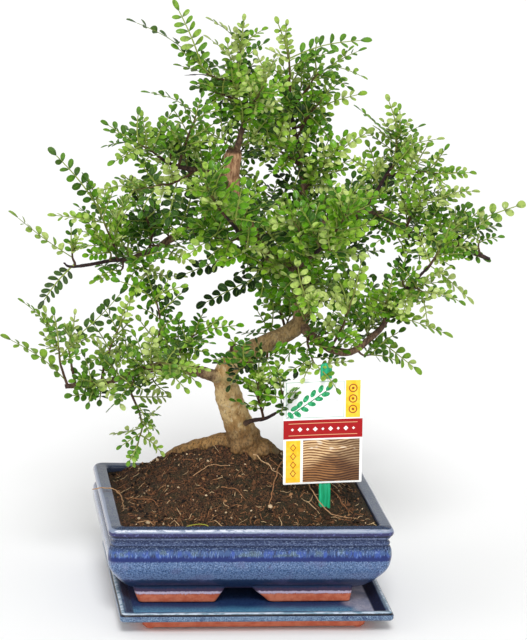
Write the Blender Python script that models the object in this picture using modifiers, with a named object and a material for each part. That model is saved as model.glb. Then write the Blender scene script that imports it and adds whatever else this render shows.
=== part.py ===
"""Chinese pepper bonsai in a glazed pot that stands on its drip saucer.

Metres, +Z up, Z = 0 on the table. The tree, pot and saucer are laid out round the pot's centre
in millimetres and hang from one empty, which stands them over the middle of the whole plant.
The front of the pot faces -Y.
"""
import math
import random

import bmesh
import bpy
from mathutils import Matrix, Vector
from mathutils.bvhtree import BVHTree

MM = 0.001
GAP = 0.3

# Where the pot's centre stands from the middle of the whole plant's box: the crown leans.
POT_STANDS_AT = (-0.008, -0.012, 0.0)

# Pot, in millimetres
POT_LENGTH = 220.0
POT_WIDTH = 162.5
LIP_CORNER = 7.0
FOOT_BOTTOM = 12.0
POT_BOTTOM = 24.0
POT_FLOOR = 31.0
SOIL_EDGE = 74.5
FOOT_LENGTH = 164.0
FOOT_DEPTH = 116.2
FOOT_STRIP = 12.0
FOOT_FLARE = 4.3
# Ends of the front arch at the feet's soles and at the pot's bottom
FRONT_ARCH = ((-23.1, 18.1), (-17.8, 5.3))
SIDE_ARCH = ((-20.0, 20.0), (-12.0, 12.0))
DRAIN_HOLE_RADIUS = 8.0
DRAIN_HOLE_X = 48.0
# Outside of the pot from its bottom edge up to the lip: inset from the lip's outline, height
POT_OUTSIDE = [(24.0, 24.0), (20.2, 25.8), (15.8, 29.2), (11.3, 33.4), (6.8, 39.0), (3.3, 43.8),
               (1.5, 48.0), (0.5, 53.0), (0.2, 58.0), (0.8, 62.0), (2.7, 65.3), (3.3, 69.4),
               (2.5, 72.5), (0.6, 73.3), (0.0, 74.8), (0.0, 77.2), (1.6, 79.6)]
# Inside of the pot from the lip down to the floor
POT_INSIDE = [(9.6, 79.6), (10.5, 78.8), (10.8, 72.0), (11.5, 50.0), (16.0, 36.0), (22.0, 31.0)]

# Drain meshes
MESH_SIZE = 26.0
MESH_THICK = 0.8

# Saucer, in millimetres
SAUCER_LENGTH = 210.8
SAUCER_WIDTH = 169.5
SAUCER_AT = (4.7, -12.5)
SAUCER_FLOOR = 11.7
# Base strip that carries the saucer, and its four nubs
BASE_LENGTH = 172.4
BASE_WIDTH = 139.8
BASE_STRIP = 13.0
NUB_RADIUS = 4.0
NUB_X = 80.5
NUB_Y = 64.5
NUB_TOP = 3.5
# Saucer from the underside of its floor out to the lip and in to the floor: inset, height.
# The first four rings lie on the base strip and are placed by its size.
BASE_BOTTOM = 2.5
SAUCER_UNDER = 6.0
SAUCER_OUTSIDE = [(3.0, 10.8), (0.8, 11.8), (0.0, 13.0), (0.0, 16.3), (0.8, 17.1)]
SAUCER_INSIDE = [(5.2, 17.1), (6.0, 16.5), (11.5, 11.7)]

# Soil: a mound that rises to the foot of the trunk
MOUND_TOP = 41.0
MOUND_AT = (9.0, 28.0)
MOUND_REACH_LEFT = 95.0
MOUND_REACH_RIGHT = 75.0
MOUND_REACH_FRONT = 98.0
MOUND_REACH_BACK = 52.0
BANK_SLOPE = 0.5
WALL_SLOPE = 1.2

# Label
CARD_SIZE = (62.0, 0.6, 85.0)
CARD_AT = (58.1, -30.0, 142.2)
CARD_CORNER = 1.0
LABEL_TILT = 2.5
STAKE_WIDTH = 9.0
STAKE_THICK = 1.8
STAKE_BOTTOM = 50.0
STAKE_TOP = 197.0
STAKE_X = 60.3

# Trunk: centre and radius from the root ball up to the cut top
TRUNK = [((13, 27, 88), 16.5), ((11, 27, 100), 15.5), ((9, 26, 111), 14), ((4, 24, 124), 12),
         ((-1, 21, 137), 11.2), ((-7, 17, 153), 10.7), ((-12, 14, 167), 10.4),
         ((-13, 11, 179), 10.2), ((-6, 8, 189), 9.4), ((7, 4, 198), 7.8), ((23, 1, 207), 7.0),
         ((35, 0, 215), 6.6), ((41, 0, 225), 6.4), ((41, 1, 238), 6.2), ((35, 3, 254), 6.2),
         ((22, 5, 268), 6.1), ((7, 6, 283), 6.1), ((-7, 6, 299), 6.1), ((-16, 5, 317), 6.2),
         ((-18, 4, 333), 6.2), ((-18, 3, 345), 6.3), ((-17, 3, 356), 6.4)]

# Surface roots: radius at the trunk, radius at the end, route
ROOTS = {
    "root_left": (8, 4, [(4, 26, 113), (-8, 32, 113), (-21, 40, 108), (-36, 48, 101),
                          (-54, 57, 89), (-66, 60, 80), (-73, 61, 71)]),
    "root_right": (8, 3.6, [(13, 24, 110), (20, 20, 113), (28, 18, 107), (35, 15, 98),
                             (42, 10, 88)]),
}

# Limbs: radius where it leaves the wood, radius at the tip, route
LIMBS = {
    "left_low": (5.2, 2.0, [(-15, 10, 171), (-31, 4, 178), (-45, -2, 183), (-59, -8, 187),
                          (-80, -16, 187), (-97, -20, 181), (-117, -25, 179), (-143, -30, 177)]),
    "left_mid": (4.2, 0.9, [(-10, 4, 306), (-28, 8, 301), (-45, 12, 294), (-61, 12, 284),
                          (-76, 9, 275), (-90, 6, 270), (-106, 3, 268), (-137, -3, 264),
                          (-145, -5, 268)]),
    "left_top": (3.4, 1.3, [(-18, 4, 329), (-33, -4, 338), (-48, -12, 343), (-64, -20, 348),
                          (-77, -26, 355)]),
    "riser": (4.6, 1.2, [(42, 2, 236), (46, 8, 253), (47, 14, 272), (45, 19, 292), (42, 22, 314),
                       (39, 24, 336), (35, 25, 357), (30, 25, 378), (27, 24, 398)]),
    "right_mid": (3.0, 1.2, [(46, 16, 283), (57, 14, 298), (72, 8, 306), (89, 2, 311),
                             (103, -3, 306), (116, -7, 297), (131, -10, 291), (148, -12, 288),
                             (165, -14, 285), (184, -16, 278)]),
    "right_top": (2.1, 1.2, [(82, 5, 309), (93, 7, 321), (102, 8, 336), (110, 7, 350)]),
    "right_low": (4.2, 1.1, [(40, 0, 222), (49, -8, 213), (62, -16, 205), (77, -22, 204),
                             (90, -24, 214), (101, -25, 227), (110, -26, 244), (120, -27, 260),
                             (133, -28, 274)]),
    "apex": (2.8, 1.1, [(-16, 3, 352), (-13, 1, 368), (-10, -1, 385), (-12, -2, 402),
                      (-19, -3, 417)]),
    "apex_dead": (1.0, 0.6, [(-15, -2, 408), (-30, 4, 410), (-44, 6, 413), (-58, 6, 412)]),
    "front_left": (3.0, 1.1, [(8, 4, 281), (-2, -14, 288), (-12, -34, 296), (-22, -54, 309),
                            (-31, -68, 321)]),
    "front_right": (3.1, 1.2, [(30, 4, 261), (33, -14, 268), (37, -34, 280), (42, -56, 293),
                             (47, -74, 306)]),
    "back_left": (3.2, 1.1, [(-15, 8, 316), (-18, 28, 318), (-25, 50, 319), (-31, 72, 322),
                           (-35, 90, 328)]),
    "back_right": (2.9, 1.1, [(47, 16, 275), (58, 38, 278), (71, 60, 283), (85, 82, 289),
                              (97, 98, 299)]),
    "back_top": (1.9, 1.0, [(38, 26, 341), (32, 44, 350), (27, 62, 359), (22, 76, 369)]),
    "bend_stub": (3.0, 2.2, [(-7, 8, 186), (-10, 7, 195), (-10, 7, 202)]),
    "low_twig": (2.2, 0.9, [(2, 14, 134), (10, 2, 141), (16, -4, 144), (25, -10, 151),
                          (34, -16, 158)]),
    "low_back": (3.0, 1.1, [(10, 6, 197), (20, 26, 199), (36, 48, 203), (52, 68, 208),
                          (67, 84, 214)]),
}

# Leafy shoots: number of leaves along the stem, stem route from the limb out, and the leaves
# that stand out from the crown as (place along the stem, leaf tip, lean of its face to the front)
SHOOTS = {
    "apex_left": (5, [(-17, -2, 410), (-29, -8, 412), (-41, -12, 416), (-47, -14, 421)],
        [(1.0, (-69, -16, 471), 55), (0.8, (-107, -26, 462), 8), (0.7, (-69, -20, 439), 40),
         (0.5, (-65, -4, 422), 10)]),
    "apex_top": (9, [(-19, -3, 416), (-18, -2, 426), (-16, 0, 438)],
        [(0.8, (-42, -8, 459), 15), (0.9, (-15, 0, 458), 60), (0.8, (2, 6, 450), 30)]),
    "apex_crown": (9, [(27, 24, 396), (25, 20, 414), (22, 16, 432)],
        [(1.0, (12, 12, 455), 55), (0.8, (84, 4, 445), 50), (0.6, (53, -4, 435), 40)]),
    "apex_right": (8, [(29, 25, 384), (38, 16, 401), (45, 8, 415), (55, 4, 423)],
        [(0.9, (77, 0, 437), 20), (1.0, (79, -4, 416), 10), (0.7, (68, -12, 409), 20)]),
    "apex_low_right": (9, [(34, 25, 362), (41, 14, 382), (49, 6, 396)],
        [(0.7, (80, -2, 404), 45), (0.8, (55, 0, 377), 45), (0.6, (58, -4, 364), 50)]),
    "apex_front": (11, [(-10, -2, 387), (-5, -20, 401), (-1, -34, 417)],
        [(0.9, (-10, -40, 439), 45)]),
    "apex_side": (8, [(-11, -1, 393), (-26, -10, 400), (-37, -16, 404)],
        [(0.8, (-51, -22, 409), 20)]),
    "upper_left_tip": (9, [(-76, -26, 355), (-87, -32, 363), (-98, -34, 368)],
        [(0.9, (-118, -38, 378), 30), (0.4, (-68, -30, 395), 25), (0.7, (-103, -30, 378), 50)]),
    "upper_left_mid": (9, [(-62, -20, 348), (-59, -25, 363), (-55, -28, 377), (-51, -28, 389)],
        [(1.0, (-92, -34, 408), 10)]),
    "left_centre": (9, [(-48, -12, 343), (-63, -26, 337), (-83, -36, 335), (-97, -40, 333)],
        [(0.9, (-109, -44, 343), 20), (0.6, (-93, -48, 317), 40)]),
    "far_left_high": (7, [(-103, 3, 268), (-108, 2, 284), (-115, 0, 299), (-120, 0, 310)],
        [(1.0, (-158, -4, 357), 50), (0.7, (-132, -6, 336), 10), (0.7, (-157, -8, 306), 30),
         (0.3, (-98, -14, 315), 40)]),
    "far_left_tip": (2, [(-136, -3, 265), (-138, -4, 272), (-138, -4, 279)],
        [(0.5, (-187, -10, 308), 15), (0.9, (-133, -2, 290), 35), (0.1, (-163, -14, 236), 65),
         (0.8, (-128, -16, 284), 20)]),
    "mid_left_up": (10, [(-78, 9, 274), (-78, 2, 291), (-84, -6, 307), (-89, -8, 318)], []),
    "mid_left_hang": (8, [(-86, 7, 271), (-82, 0, 262), (-78, -6, 251)],
        [(0.2, (-125, -8, 285), 20)]),
    "inner_left": (2, [(-35, 9, 299), (-22, 0, 288), (-10, -8, 279)],
        [(1.0, (-58, -14, 260), 45), (0.6, (-31, -18, 269), 40)]),
    "low_left_tip_a": (2, [(-141, -30, 178), (-146, -32, 192), (-149, -36, 208), (-152, -38, 218)],
        [(1.0, (-179, -44, 250), 15), (0.1, (-192, -42, 222), 20), (0.8, (-154, -42, 240), 60),
         (0.5, (-130, -44, 209), 40)]),
    "low_left_tip_b": (6, [(-135, -28, 179), (-138, -24, 192), (-140, -20, 203), (-139, -20, 213)],
        [(0.9, (-96, -14, 252), 20), (0.7, (-123, -24, 216), 40)]),
    "low_left_mid": (9, [(-115, -25, 179), (-112, -22, 194), (-107, -20, 210), (-100, -20, 227)],
        [(0.9, (-92, -22, 250), 55), (0.5, (-129, -34, 195), 40)]),
    "low_left_up": (10, [(-76, -14, 188), (-72, -14, 205), (-70, -14, 222), (-73, -14, 238),
                         (-78, -14, 250)],
        [(0.8, (-107, -18, 260), 45), (0.9, (-54, -20, 255), 50)]),
    "low_left_inner": (7, [(-61, -8, 188), (-54, -14, 202), (-47, -18, 213), (-38, -20, 219)],
        [(1.0, (-9, -22, 225), 45), (0.5, (-36, -30, 205), 50)]),
    "low_left_front": (8, [(-85, -17, 185), (-81, -34, 195), (-72, -48, 202), (-62, -56, 202)],
        [(0.8, (-44, -62, 190), 40)]),
    "hanging_spray": (6, [(-92, -19, 182), (-92, -25, 172), (-86, -29, 158), (-83, -30, 144),
                          (-86, -30, 130)],
        [(1.0, (-92, -32, 117), 45), (0.8, (-100, -34, 130), 30), (0.7, (-72, -36, 162), 15),
         (0.6, (-71, -32, 143), 10)]),
    "centre_hang": (4, [(10, 6, 279), (8, -4, 270), (7, -10, 261)],
        [(1.0, (-42, -14, 237), 45), (0.7, (-11, -20, 250), 45)]),
    "front_left_tip": (10, [(-31, -67, 320), (-41, -76, 334), (-48, -80, 346)], []),
    "front_left_side": (9, [(-13, -36, 297), (-29, -50, 298), (-42, -58, 306)], []),
    "front_right_tip": (11, [(47, -73, 305), (53, -80, 319), (58, -82, 332)], []),
    "front_right_up": (10, [(37, -38, 282), (30, -52, 301), (20, -60, 319)], []),
    "front_mid": (6, [(33, -18, 270), (33, -40, 264), (36, -50, 254)],
        [(1.0, (25, -60, 285), 70), (0.8, (52, -60, 251), 50)]),
    "front_low_right": (6, [(63, -16, 205), (67, -38, 229), (70, -50, 250), (72, -54, 262)],
        [(1.0, (75, -60, 289), 70), (0.7, (57, -60, 274), 60)]),
    "riser_right": (10, [(41, 22, 320), (49, 14, 335), (57, 10, 347)],
        [(0.9, (88, 2, 375), 40), (0.8, (78, 6, 350), 35)]),
    "riser_left": (12, [(38, 24, 340), (21, 12, 353), (7, 4, 361)], []),
    "right_top_tip": (7, [(110, 7, 350), (109, 6, 361), (109, 6, 372)],
        [(1.0, (99, 2, 400), 60), (0.7, (73, -6, 394), 10), (0.3, (143, 0, 370), 25),
         (0.1, (132, -10, 366), 40)]),
    "right_top_side": (9, [(103, 8, 338), (115, 0, 341), (128, -6, 344), (139, -8, 343)],
        [(0.9, (139, -16, 362), 65), (1.0, (168, -10, 345), 40), (0.8, (146, -20, 336), 60)]),
    "right_mid_up": (9, [(117, -7, 297), (121, -12, 312), (129, -16, 323), (139, -18, 325)],
        [(1.0, (168, -22, 334), 30), (0.5, (110, -26, 335), 50)]),
    "right_tip_up": (5, [(149, -12, 288), (152, -14, 296), (157, -15, 301)],
        [(0.9, (208, -18, 324), 55), (0.6, (166, -10, 319), 40)]),
    "right_tip": (0, [(176, -15, 282), (174, -16, 288), (175, -17, 294)],
        [(0.9, (163, -20, 300), 45), (0.8, (190, -18, 297), 30), (0.4, (160, -22, 288), 50)]),
    "low_right_tip": (5, [(133, -28, 274), (138, -30, 284), (144, -30, 293)],
        [(0.1, (168, -34, 249), 20), (1.0, (148, -32, 314), 40)]),
    "low_right_a": (5, [(121, -27, 260), (124, -34, 259), (129, -40, 257)],
        [(0.9, (159, -44, 251), 35), (0.5, (104, -44, 282), 50)]),
    "low_right_b": (7, [(102, -25, 228), (99, -36, 243), (100, -44, 255)],
        [(0.4, (151, -46, 225), 20), (0.7, (79, -48, 256), 50)]),
    "low_right_c": (6, [(91, -24, 214), (91, -10, 222), (94, 0, 233)],
        [(0.3, (134, -22, 188), 40), (0.5, (73, -14, 237), 45)]),
    "label_side": (6, [(46, -5, 215), (45, -16, 208), (48, -22, 199), (51, -26, 193)],
        [(1.0, (77, -32, 200), 40), (0.8, (26, -34, 190), 35), (0.4, (59, -30, 219), 40)]),
    "low_twig_up": (8, [(15, -4, 144), (11, -8, 157), (8, -12, 170), (8, -14, 181)],
        [(1.0, (2, -16, 190), 45)]),
    "low_twig_tip": (4, [(32, -14, 156), (27, -24, 168), (23, -30, 177)],
        [(0.3, (34, -42, 173), 50)]),
    "bend_leaves": (7, [(15, 4, 201), (14, -10, 194), (1, -20, 195), (-10, -26, 196)],
        [(0.7, (-37, -36, 201), 30), (0.4, (39, -24, 208), 20)]),
    "back_left_tip": (9, [(-35, 89, 327), (-44, 98, 332), (-53, 102, 336)], []),
    "back_right_tip": (10, [(97, 97, 298), (110, 105, 306), (122, 110, 312)], []),
    "back_right_low": (10, [(71, 60, 283), (84, 70, 269), (97, 76, 261)], []),
    "back_top_tip": (10, [(22, 75, 368), (13, 82, 377), (5, 84, 388)], []),
    "low_back_tip": (9, [(67, 84, 214), (81, 92, 218), (93, 96, 221)], []),
    "back_left_mid": (11, [(-24, 47, 319), (-14, 56, 331), (-4, 62, 342), (4, 64, 352)], []),
    "back_centre": (11, [(46, 19, 289), (38, 34, 296), (28, 48, 304), (18, 58, 310)], []),
    "low_back_up": (10, [(37, 49, 203), (33, 56, 219), (34, 60, 235), (40, 62, 250)], []),
}

# Stem and leaf sizes, in millimetres
STEM_BASE = 1.0
STEM_TIP = 0.6
STEM_SIDES = 6
LEAF_WIDTHS = (9.0, 15.0)
LEAF_SLIMNESS = 0.34
LEAF_THICK = 0.9
LEAF_CLEARANCE = 0.4
LEAF_LENGTHS = (22.0, 34.0)
LEAVES_A_SHOOT = 5
GOLDEN_ANGLE = math.radians(137.5)
UP = Vector((0, 0, 1))
FRONT = Vector((-0.15, -0.99, 0)).normalized()


def clear_scene():
    for obj in list(bpy.data.objects):
        bpy.data.objects.remove(obj, do_unlink=True)


def collection(name, parent=None):
    made = bpy.data.collections.new(name)
    (parent or bpy.context.scene.collection).children.link(made)
    return made


def material(name, colour, roughness, metallic=0.0):
    made = bpy.data.materials.new(name)
    made.use_nodes = True
    shader = made.node_tree.nodes["Principled BSDF"]
    shader.inputs["Base Color"].default_value = (*colour, 1.0)
    shader.inputs["Roughness"].default_value = roughness
    shader.inputs["Metallic"].default_value = metallic
    return made


def place(name, mesh, where, finish=None):
    """Link a mesh, drawn in millimetres round the pot's centre, as an object in metres."""
    mesh.transform(Matrix.Scale(MM, 4))
    obj = bpy.data.objects.new(name, mesh)
    where.objects.link(obj)
    obj.parent = stand
    if finish:
        mesh.materials.append(finish)
    if where is not parts:
        obj.hide_render = True
        obj.display_type = 'WIRE'
    return obj


def mesh_from(bm, name):
    bmesh.ops.recalc_face_normals(bm, faces=bm.faces)
    mesh = bpy.data.meshes.new(name)
    bm.to_mesh(mesh)
    bm.free()
    return mesh


def smooth(obj, angle=40):
    obj.data.shade_smooth()
    obj.data.set_sharp_from_angle(angle=math.radians(angle))


def rounded_ring(half_x, half_y, corner, z, centre=(0, 0), steps=4):
    """Outline of a rectangle with round corners, counter-clockwise."""
    ring = []
    for turn, (sx, sy) in enumerate(((1, 1), (-1, 1), (-1, -1), (1, -1))):
        cx = centre[0] + sx * (half_x - corner)
        cy = centre[1] + sy * (half_y - corner)
        for step in range(steps + 1):
            angle = math.radians(90 * (turn + step / steps))
            ring.append(Vector((cx + corner * math.cos(angle), cy + corner * math.sin(angle), z)))
    return ring


def loft(name, rings, closed=False):
    """Skin a stack of outlines with the same number of points."""
    bm = bmesh.new()
    loops = [[bm.verts.new(point) for point in ring] for ring in rings]
    pairs = list(zip(loops, loops[1:]))
    if closed:
        pairs.append((loops[-1], loops[0]))
    for low, high in pairs:
        for i in range(len(low)):
            j = (i + 1) % len(low)
            bm.faces.new((low[i], low[j], high[j], high[i]))
    if not closed:
        bm.faces.new(reversed(loops[0]))
        bm.faces.new(loops[-1])
    return mesh_from(bm, name)


def cylinder(name, radius, low, high, centre, sides=24):
    bm = bmesh.new()
    bmesh.ops.create_cone(bm, cap_ends=True, segments=sides, radius1=radius, radius2=radius,
                          depth=high - low,
                          matrix=Matrix.Translation((*centre, (low + high) / 2)))
    return mesh_from(bm, name)


def block(name, low, high):
    bm = bmesh.new()
    middle = (Vector(low) + Vector(high)) / 2
    size = Vector(high) - Vector(low)
    bmesh.ops.create_cube(bm, size=1, matrix=Matrix.Translation(middle) @ Matrix.Diagonal((*size, 1)))
    return mesh_from(bm, name)


def tube(name, route, radii, sides):
    """A round tube through the route's points, as a closed mesh in millimetres."""
    curve = bpy.data.curves.new(name, 'CURVE')
    curve.dimensions = '3D'
    curve.bevel_depth = 1.0
    curve.bevel_resolution = sides // 2 - 2
    curve.render_resolution_u = 0
    curve.use_fill_caps = True
    spline = curve.splines.new('POLY')
    spline.points.add(len(route) - 1)
    for point, where, radius in zip(spline.points, route, radii):
        point.co = (*where, 1.0)
        point.radius = radius
    obj = bpy.data.objects.new(name, curve)
    bpy.context.scene.collection.objects.link(obj)
    bpy.context.view_layer.update()
    shape = obj.evaluated_get(bpy.context.evaluated_depsgraph_get())
    bm = bmesh.new()
    made = bpy.data.meshes.new_from_object(shape)
    bm.from_mesh(made)
    bmesh.ops.remove_doubles(bm, verts=bm.verts, dist=0.001)
    bpy.data.objects.remove(obj, do_unlink=True)
    bpy.data.meshes.remove(made)
    return mesh_from(bm, name)


def tapered(first, last, route):
    steps = len(route) - 1
    return [first + (last - first) * i / steps for i in range(len(route))]


def combine(obj, operation, other):
    boolean = obj.modifiers.new(operation.lower(), 'BOOLEAN')
    boolean.operation = operation
    if isinstance(other, bpy.types.Collection):
        boolean.operand_type = 'COLLECTION'
        boolean.collection = other
    else:
        boolean.object = other


def surface(mesh):
    """Search tree of a mesh's faces, in millimetres round the pot's centre."""
    points = [vertex.co / MM for vertex in mesh.vertices]
    return BVHTree.FromPolygons(points, [list(face.vertices) for face in mesh.polygons])


def finished_surface(obj):
    bpy.context.view_layer.update()
    return surface(obj.evaluated_get(bpy.context.evaluated_depsgraph_get()).to_mesh())


def pot_ring(inset, z):
    corner = max(3.0, LIP_CORNER - 0.25 * inset)
    return rounded_ring(POT_LENGTH / 2 - inset, POT_WIDTH / 2 - inset, corner, z)


def make_pot(glaze):
    rings = [pot_ring(inset, z) for inset, z in POT_OUTSIDE + POT_INSIDE]
    pot = place("pot", loft("pot", rings), parts, glaze)
    foot_top = POT_BOTTOM + 3.5
    flare = FOOT_FLARE * (foot_top - FOOT_BOTTOM) / (POT_BOTTOM - FOOT_BOTTOM)
    half_x, half_y = FOOT_LENGTH / 2, FOOT_DEPTH / 2
    foot = [rounded_ring(half_x, half_y, 4.0, FOOT_BOTTOM),
            rounded_ring(half_x + flare, half_y + flare, 4.0, foot_top),
            rounded_ring(half_x - FOOT_STRIP, half_y - FOOT_STRIP, 4.0, foot_top),
            rounded_ring(half_x - FOOT_STRIP, half_y - FOOT_STRIP, 4.0, FOOT_BOTTOM)]
    combine(pot, 'UNION', place("foot_strip", loft("foot_strip", foot, closed=True), cutters))
    for name, (soles, tops), along_y in (("front_arch", FRONT_ARCH, True),
                                         ("side_arch", SIDE_ARCH, False)):
        sections = []
        for end in (-POT_LENGTH, POT_LENGTH):
            outline = [(soles[0], FOOT_BOTTOM - 1), (soles[1], FOOT_BOTTOM - 1),
                       (tops[1], POT_BOTTOM - 0.2), (tops[0], POT_BOTTOM - 0.2)]
            sections.append([Vector((a, end, z)) if along_y else Vector((end, a, z))
                             for a, z in outline])
        combine(pot, 'DIFFERENCE', place(name, loft(name, sections), cutters))
    for number, x in enumerate((-DRAIN_HOLE_X, DRAIN_HOLE_X), 1):
        hole = cylinder("drain_hole_%d" % number, DRAIN_HOLE_RADIUS, POT_BOTTOM - 4,
                        POT_FLOOR + 4, (x, 0))
        combine(pot, 'DIFFERENCE', place(hole.name, hole, cutters))
    smooth(pot)
    return pot


def make_drain_mesh(number, x, plastic):
    """A square of plastic mesh that keeps the soil off a drain hole."""
    bm = bmesh.new()
    cells = 7
    bmesh.ops.create_grid(bm, x_segments=cells, y_segments=cells, size=MESH_SIZE / 2)
    holes = [face for i, face in enumerate(bm.faces) if (i // cells) % 2 and (i % cells) % 2]
    bmesh.ops.delete(bm, geom=holes, context='FACES')
    bmesh.ops.translate(bm, verts=bm.verts, vec=(x, 0, POT_FLOOR + GAP + MESH_THICK / 2))
    name = "drain_mesh_%d" % number
    obj = place(name, mesh_from(bm, name), parts, plastic)
    solid = obj.modifiers.new("thickness", 'SOLIDIFY')
    solid.thickness = MESH_THICK * MM
    solid.offset = 0


def make_saucer(clay):
    def ring(inset, z):
        return rounded_ring(SAUCER_LENGTH / 2 - inset, SAUCER_WIDTH / 2 - inset,
                            max(2.5, 3.5 - 0.1 * inset), z, SAUCER_AT)

    def base_ring(inset, z):
        return rounded_ring(BASE_LENGTH / 2 - inset, BASE_WIDTH / 2 - inset, 6.0, z, SAUCER_AT)

    rings = [base_ring(BASE_STRIP, SAUCER_UNDER), base_ring(BASE_STRIP, BASE_BOTTOM),
             base_ring(0.0, BASE_BOTTOM), base_ring(-1.0, SAUCER_UNDER + 0.5)]
    rings += [ring(inset, z) for inset, z in SAUCER_OUTSIDE + SAUCER_INSIDE]
    saucer = place("saucer", loft("saucer", rings), parts, clay)
    for number, (sx, sy) in enumerate(((-1, -1), (1, -1), (1, 1), (-1, 1)), 1):
        centre = (SAUCER_AT[0] + sx * NUB_X, SAUCER_AT[1] + sy * NUB_Y)
        nub = cylinder("nub_%d" % number, NUB_RADIUS, 0, NUB_TOP, centre, 16)
        combine(saucer, 'UNION', place(nub.name, nub, cutters))
    smooth(saucer)
    return saucer


def soil_height(x, y):
    dx = x - MOUND_AT[0]
    dy = y - MOUND_AT[1]
    reach_x = MOUND_REACH_LEFT if dx < 0 else MOUND_REACH_RIGHT
    reach_y = MOUND_REACH_FRONT if dy < 0 else MOUND_REACH_BACK
    away = math.hypot(dx / reach_x, dy / reach_y)
    height = SOIL_EDGE + MOUND_TOP * max(0.0, 1 - away)
    # The soil banks up against the surface roots
    for first, last, route in ROOTS.values():
        radii = tapered(first, last, route)
        for i in range(len(route) - 1):
            a, b = Vector(route[i]), Vector(route[i + 1])
            reach = (b - a).to_2d()
            share = max(0.0, min(1.0, (Vector((x, y)) - a.to_2d()).dot(reach) / reach.length_squared))
            beside = (Vector((x, y)) - a.to_2d() - reach * share).length
            bank = a.lerp(b, share).z - 0.25 * radii[i] - BANK_SLOPE * max(0.0, beside - radii[i])
            height = max(height, bank)
    wall = min(POT_LENGTH / 2 - abs(x), POT_WIDTH / 2 - abs(y)) - POT_INSIDE[2][0] - GAP
    return min(height, SOIL_EDGE + WALL_SLOPE * max(0.0, wall))


def make_soil(peat):
    """Soil fills the pot from its floor and rises in a mound, cut out round roots and stake."""
    def wall_ring(inset, z):
        """Outline inside the pot's wall, with points along its straight sides."""
        corner = max(3.0, LIP_CORNER - 0.25 * inset)
        steps = 3
        ring = rounded_ring(POT_LENGTH / 2 - inset - GAP, POT_WIDTH / 2 - inset - GAP, corner, z,
                            steps=steps)
        points = []
        for i, (a, b) in enumerate(zip(ring, ring[1:] + ring[:1])):
            corner_number, step = divmod(i, steps + 1)
            count = (10, 7)[corner_number % 2] if step == steps else 1
            points += [a.lerp(b, k / count) for k in range(count)]
        return points

    def wall_inset(z):
        for (outer, high), (inner, low) in zip(POT_INSIDE, POT_INSIDE[1:]):
            if low <= z <= high:
                return outer + (inner - outer) * (high - z) / (high - low)

    rings = [wall_ring(wall_inset(z) + extra, z + GAP) for z, extra in
             ((POT_FLOOR, 0.5), (36.0, 0.0), (50.0, 0.0), (SOIL_EDGE - GAP, 0.0))]
    edge = rings[-1]
    centre = Vector((*MOUND_AT, 0))
    for share in (0.93, 0.84, 0.73, 0.62, 0.5, 0.38, 0.26, 0.12):
        ring = [centre + (point - centre) * share for point in edge]
        rings.append([Vector((p.x, p.y, soil_height(p.x, p.y))) for p in ring])
    soil = place("soil", loft("soil", rings), parts, peat)
    pockets = collection("soil_pockets", cutters)
    for number, x in enumerate((-DRAIN_HOLE_X, DRAIN_HOLE_X), 1):
        half = MESH_SIZE / 2 + GAP
        pocket = block("mesh_pocket_%d" % number, (x - half, -half, POT_FLOOR - 1),
                       (x + half, half, POT_FLOOR + MESH_THICK + 2 * GAP))
        place(pocket.name, pocket, pockets)
    below = [point for point in TRUNK if point[0][2] < 140]
    route = [Vector(point) for point, radius in below]
    route[0] = route[0] + (route[0] - route[1]).normalized() * 0.4
    place("trunk_pocket", tube("trunk_pocket", route, [radius + 0.45 for p, radius in below], 10),
          pockets)
    for name, (first, last, points) in ROOTS.items():
        route = [Vector(point) for point in points]
        route[-1] = route[-1] + (route[-1] - route[-2]).normalized() * 0.4
        radii = [radius + 0.45 for radius in tapered(first, last, points)]
        place(name + "_pocket", tube(name, route, radii, 8), pockets)
    place("stake_pocket", stake_mesh("stake_pocket", 0.4), pockets)
    combine(soil, 'DIFFERENCE', pockets)
    smooth(soil, 60)
    return soil


def stake_mesh(name, grow=0.0):
    """A flat stick with two grooves down its front, pointed below and rounded on top."""
    half_t = STAKE_THICK / 2 + grow
    tilt = math.tan(math.radians(LABEL_TILT))
    y = CARD_AT[1] + CARD_SIZE[1] / 2 + GAP + STAKE_THICK / 2
    rings = []
    for z, share in ((STAKE_BOTTOM - grow, 0.15), (STAKE_BOTTOM + 14, 1.0), (STAKE_TOP - 4, 1.0),
                     (STAKE_TOP - 1.5, 0.8), (STAKE_TOP + grow, 0.4)):
        half_w = STAKE_WIDTH / 2 * share + grow
        x = STAKE_X - (z - CARD_AT[2]) * tilt
        groove = 0.0 if grow else 0.5 * share
        front = [(-1.0, 0), (-0.6, 0), (-0.4, groove), (-0.2, 0), (0.2, 0), (0.4, groove), (0.6, 0),
                 (1.0, 0)]
        ring = [Vector((x + half_w * u, y - half_t + depth, z)) for u, depth in front]
        ring += [Vector((x + half_w, y + half_t, z)), Vector((x - half_w, y + half_t, z))]
        rings.append(ring)
    return loft(name, rings)


def make_label(card_finish, stake_finish):
    bm = bmesh.new()
    bmesh.ops.create_cube(bm, size=1, matrix=Matrix.Diagonal((*CARD_SIZE, 1)))
    corners = [edge for edge in bm.edges if abs(edge.verts[0].co.y - edge.verts[1].co.y) > 0.1]
    bmesh.ops.bevel(bm, geom=corners, offset=CARD_CORNER, segments=2, affect='EDGES')
    turn = Matrix.Translation(CARD_AT) @ Matrix.Rotation(math.radians(-LABEL_TILT), 4, 'Y')
    bmesh.ops.transform(bm, verts=bm.verts, matrix=turn)
    card = place("label_card", mesh_from(bm, "label_card"), parts, card_finish)
    stake = place("label_stake", stake_mesh("label_stake"), parts, stake_finish)
    return card, stake


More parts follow.
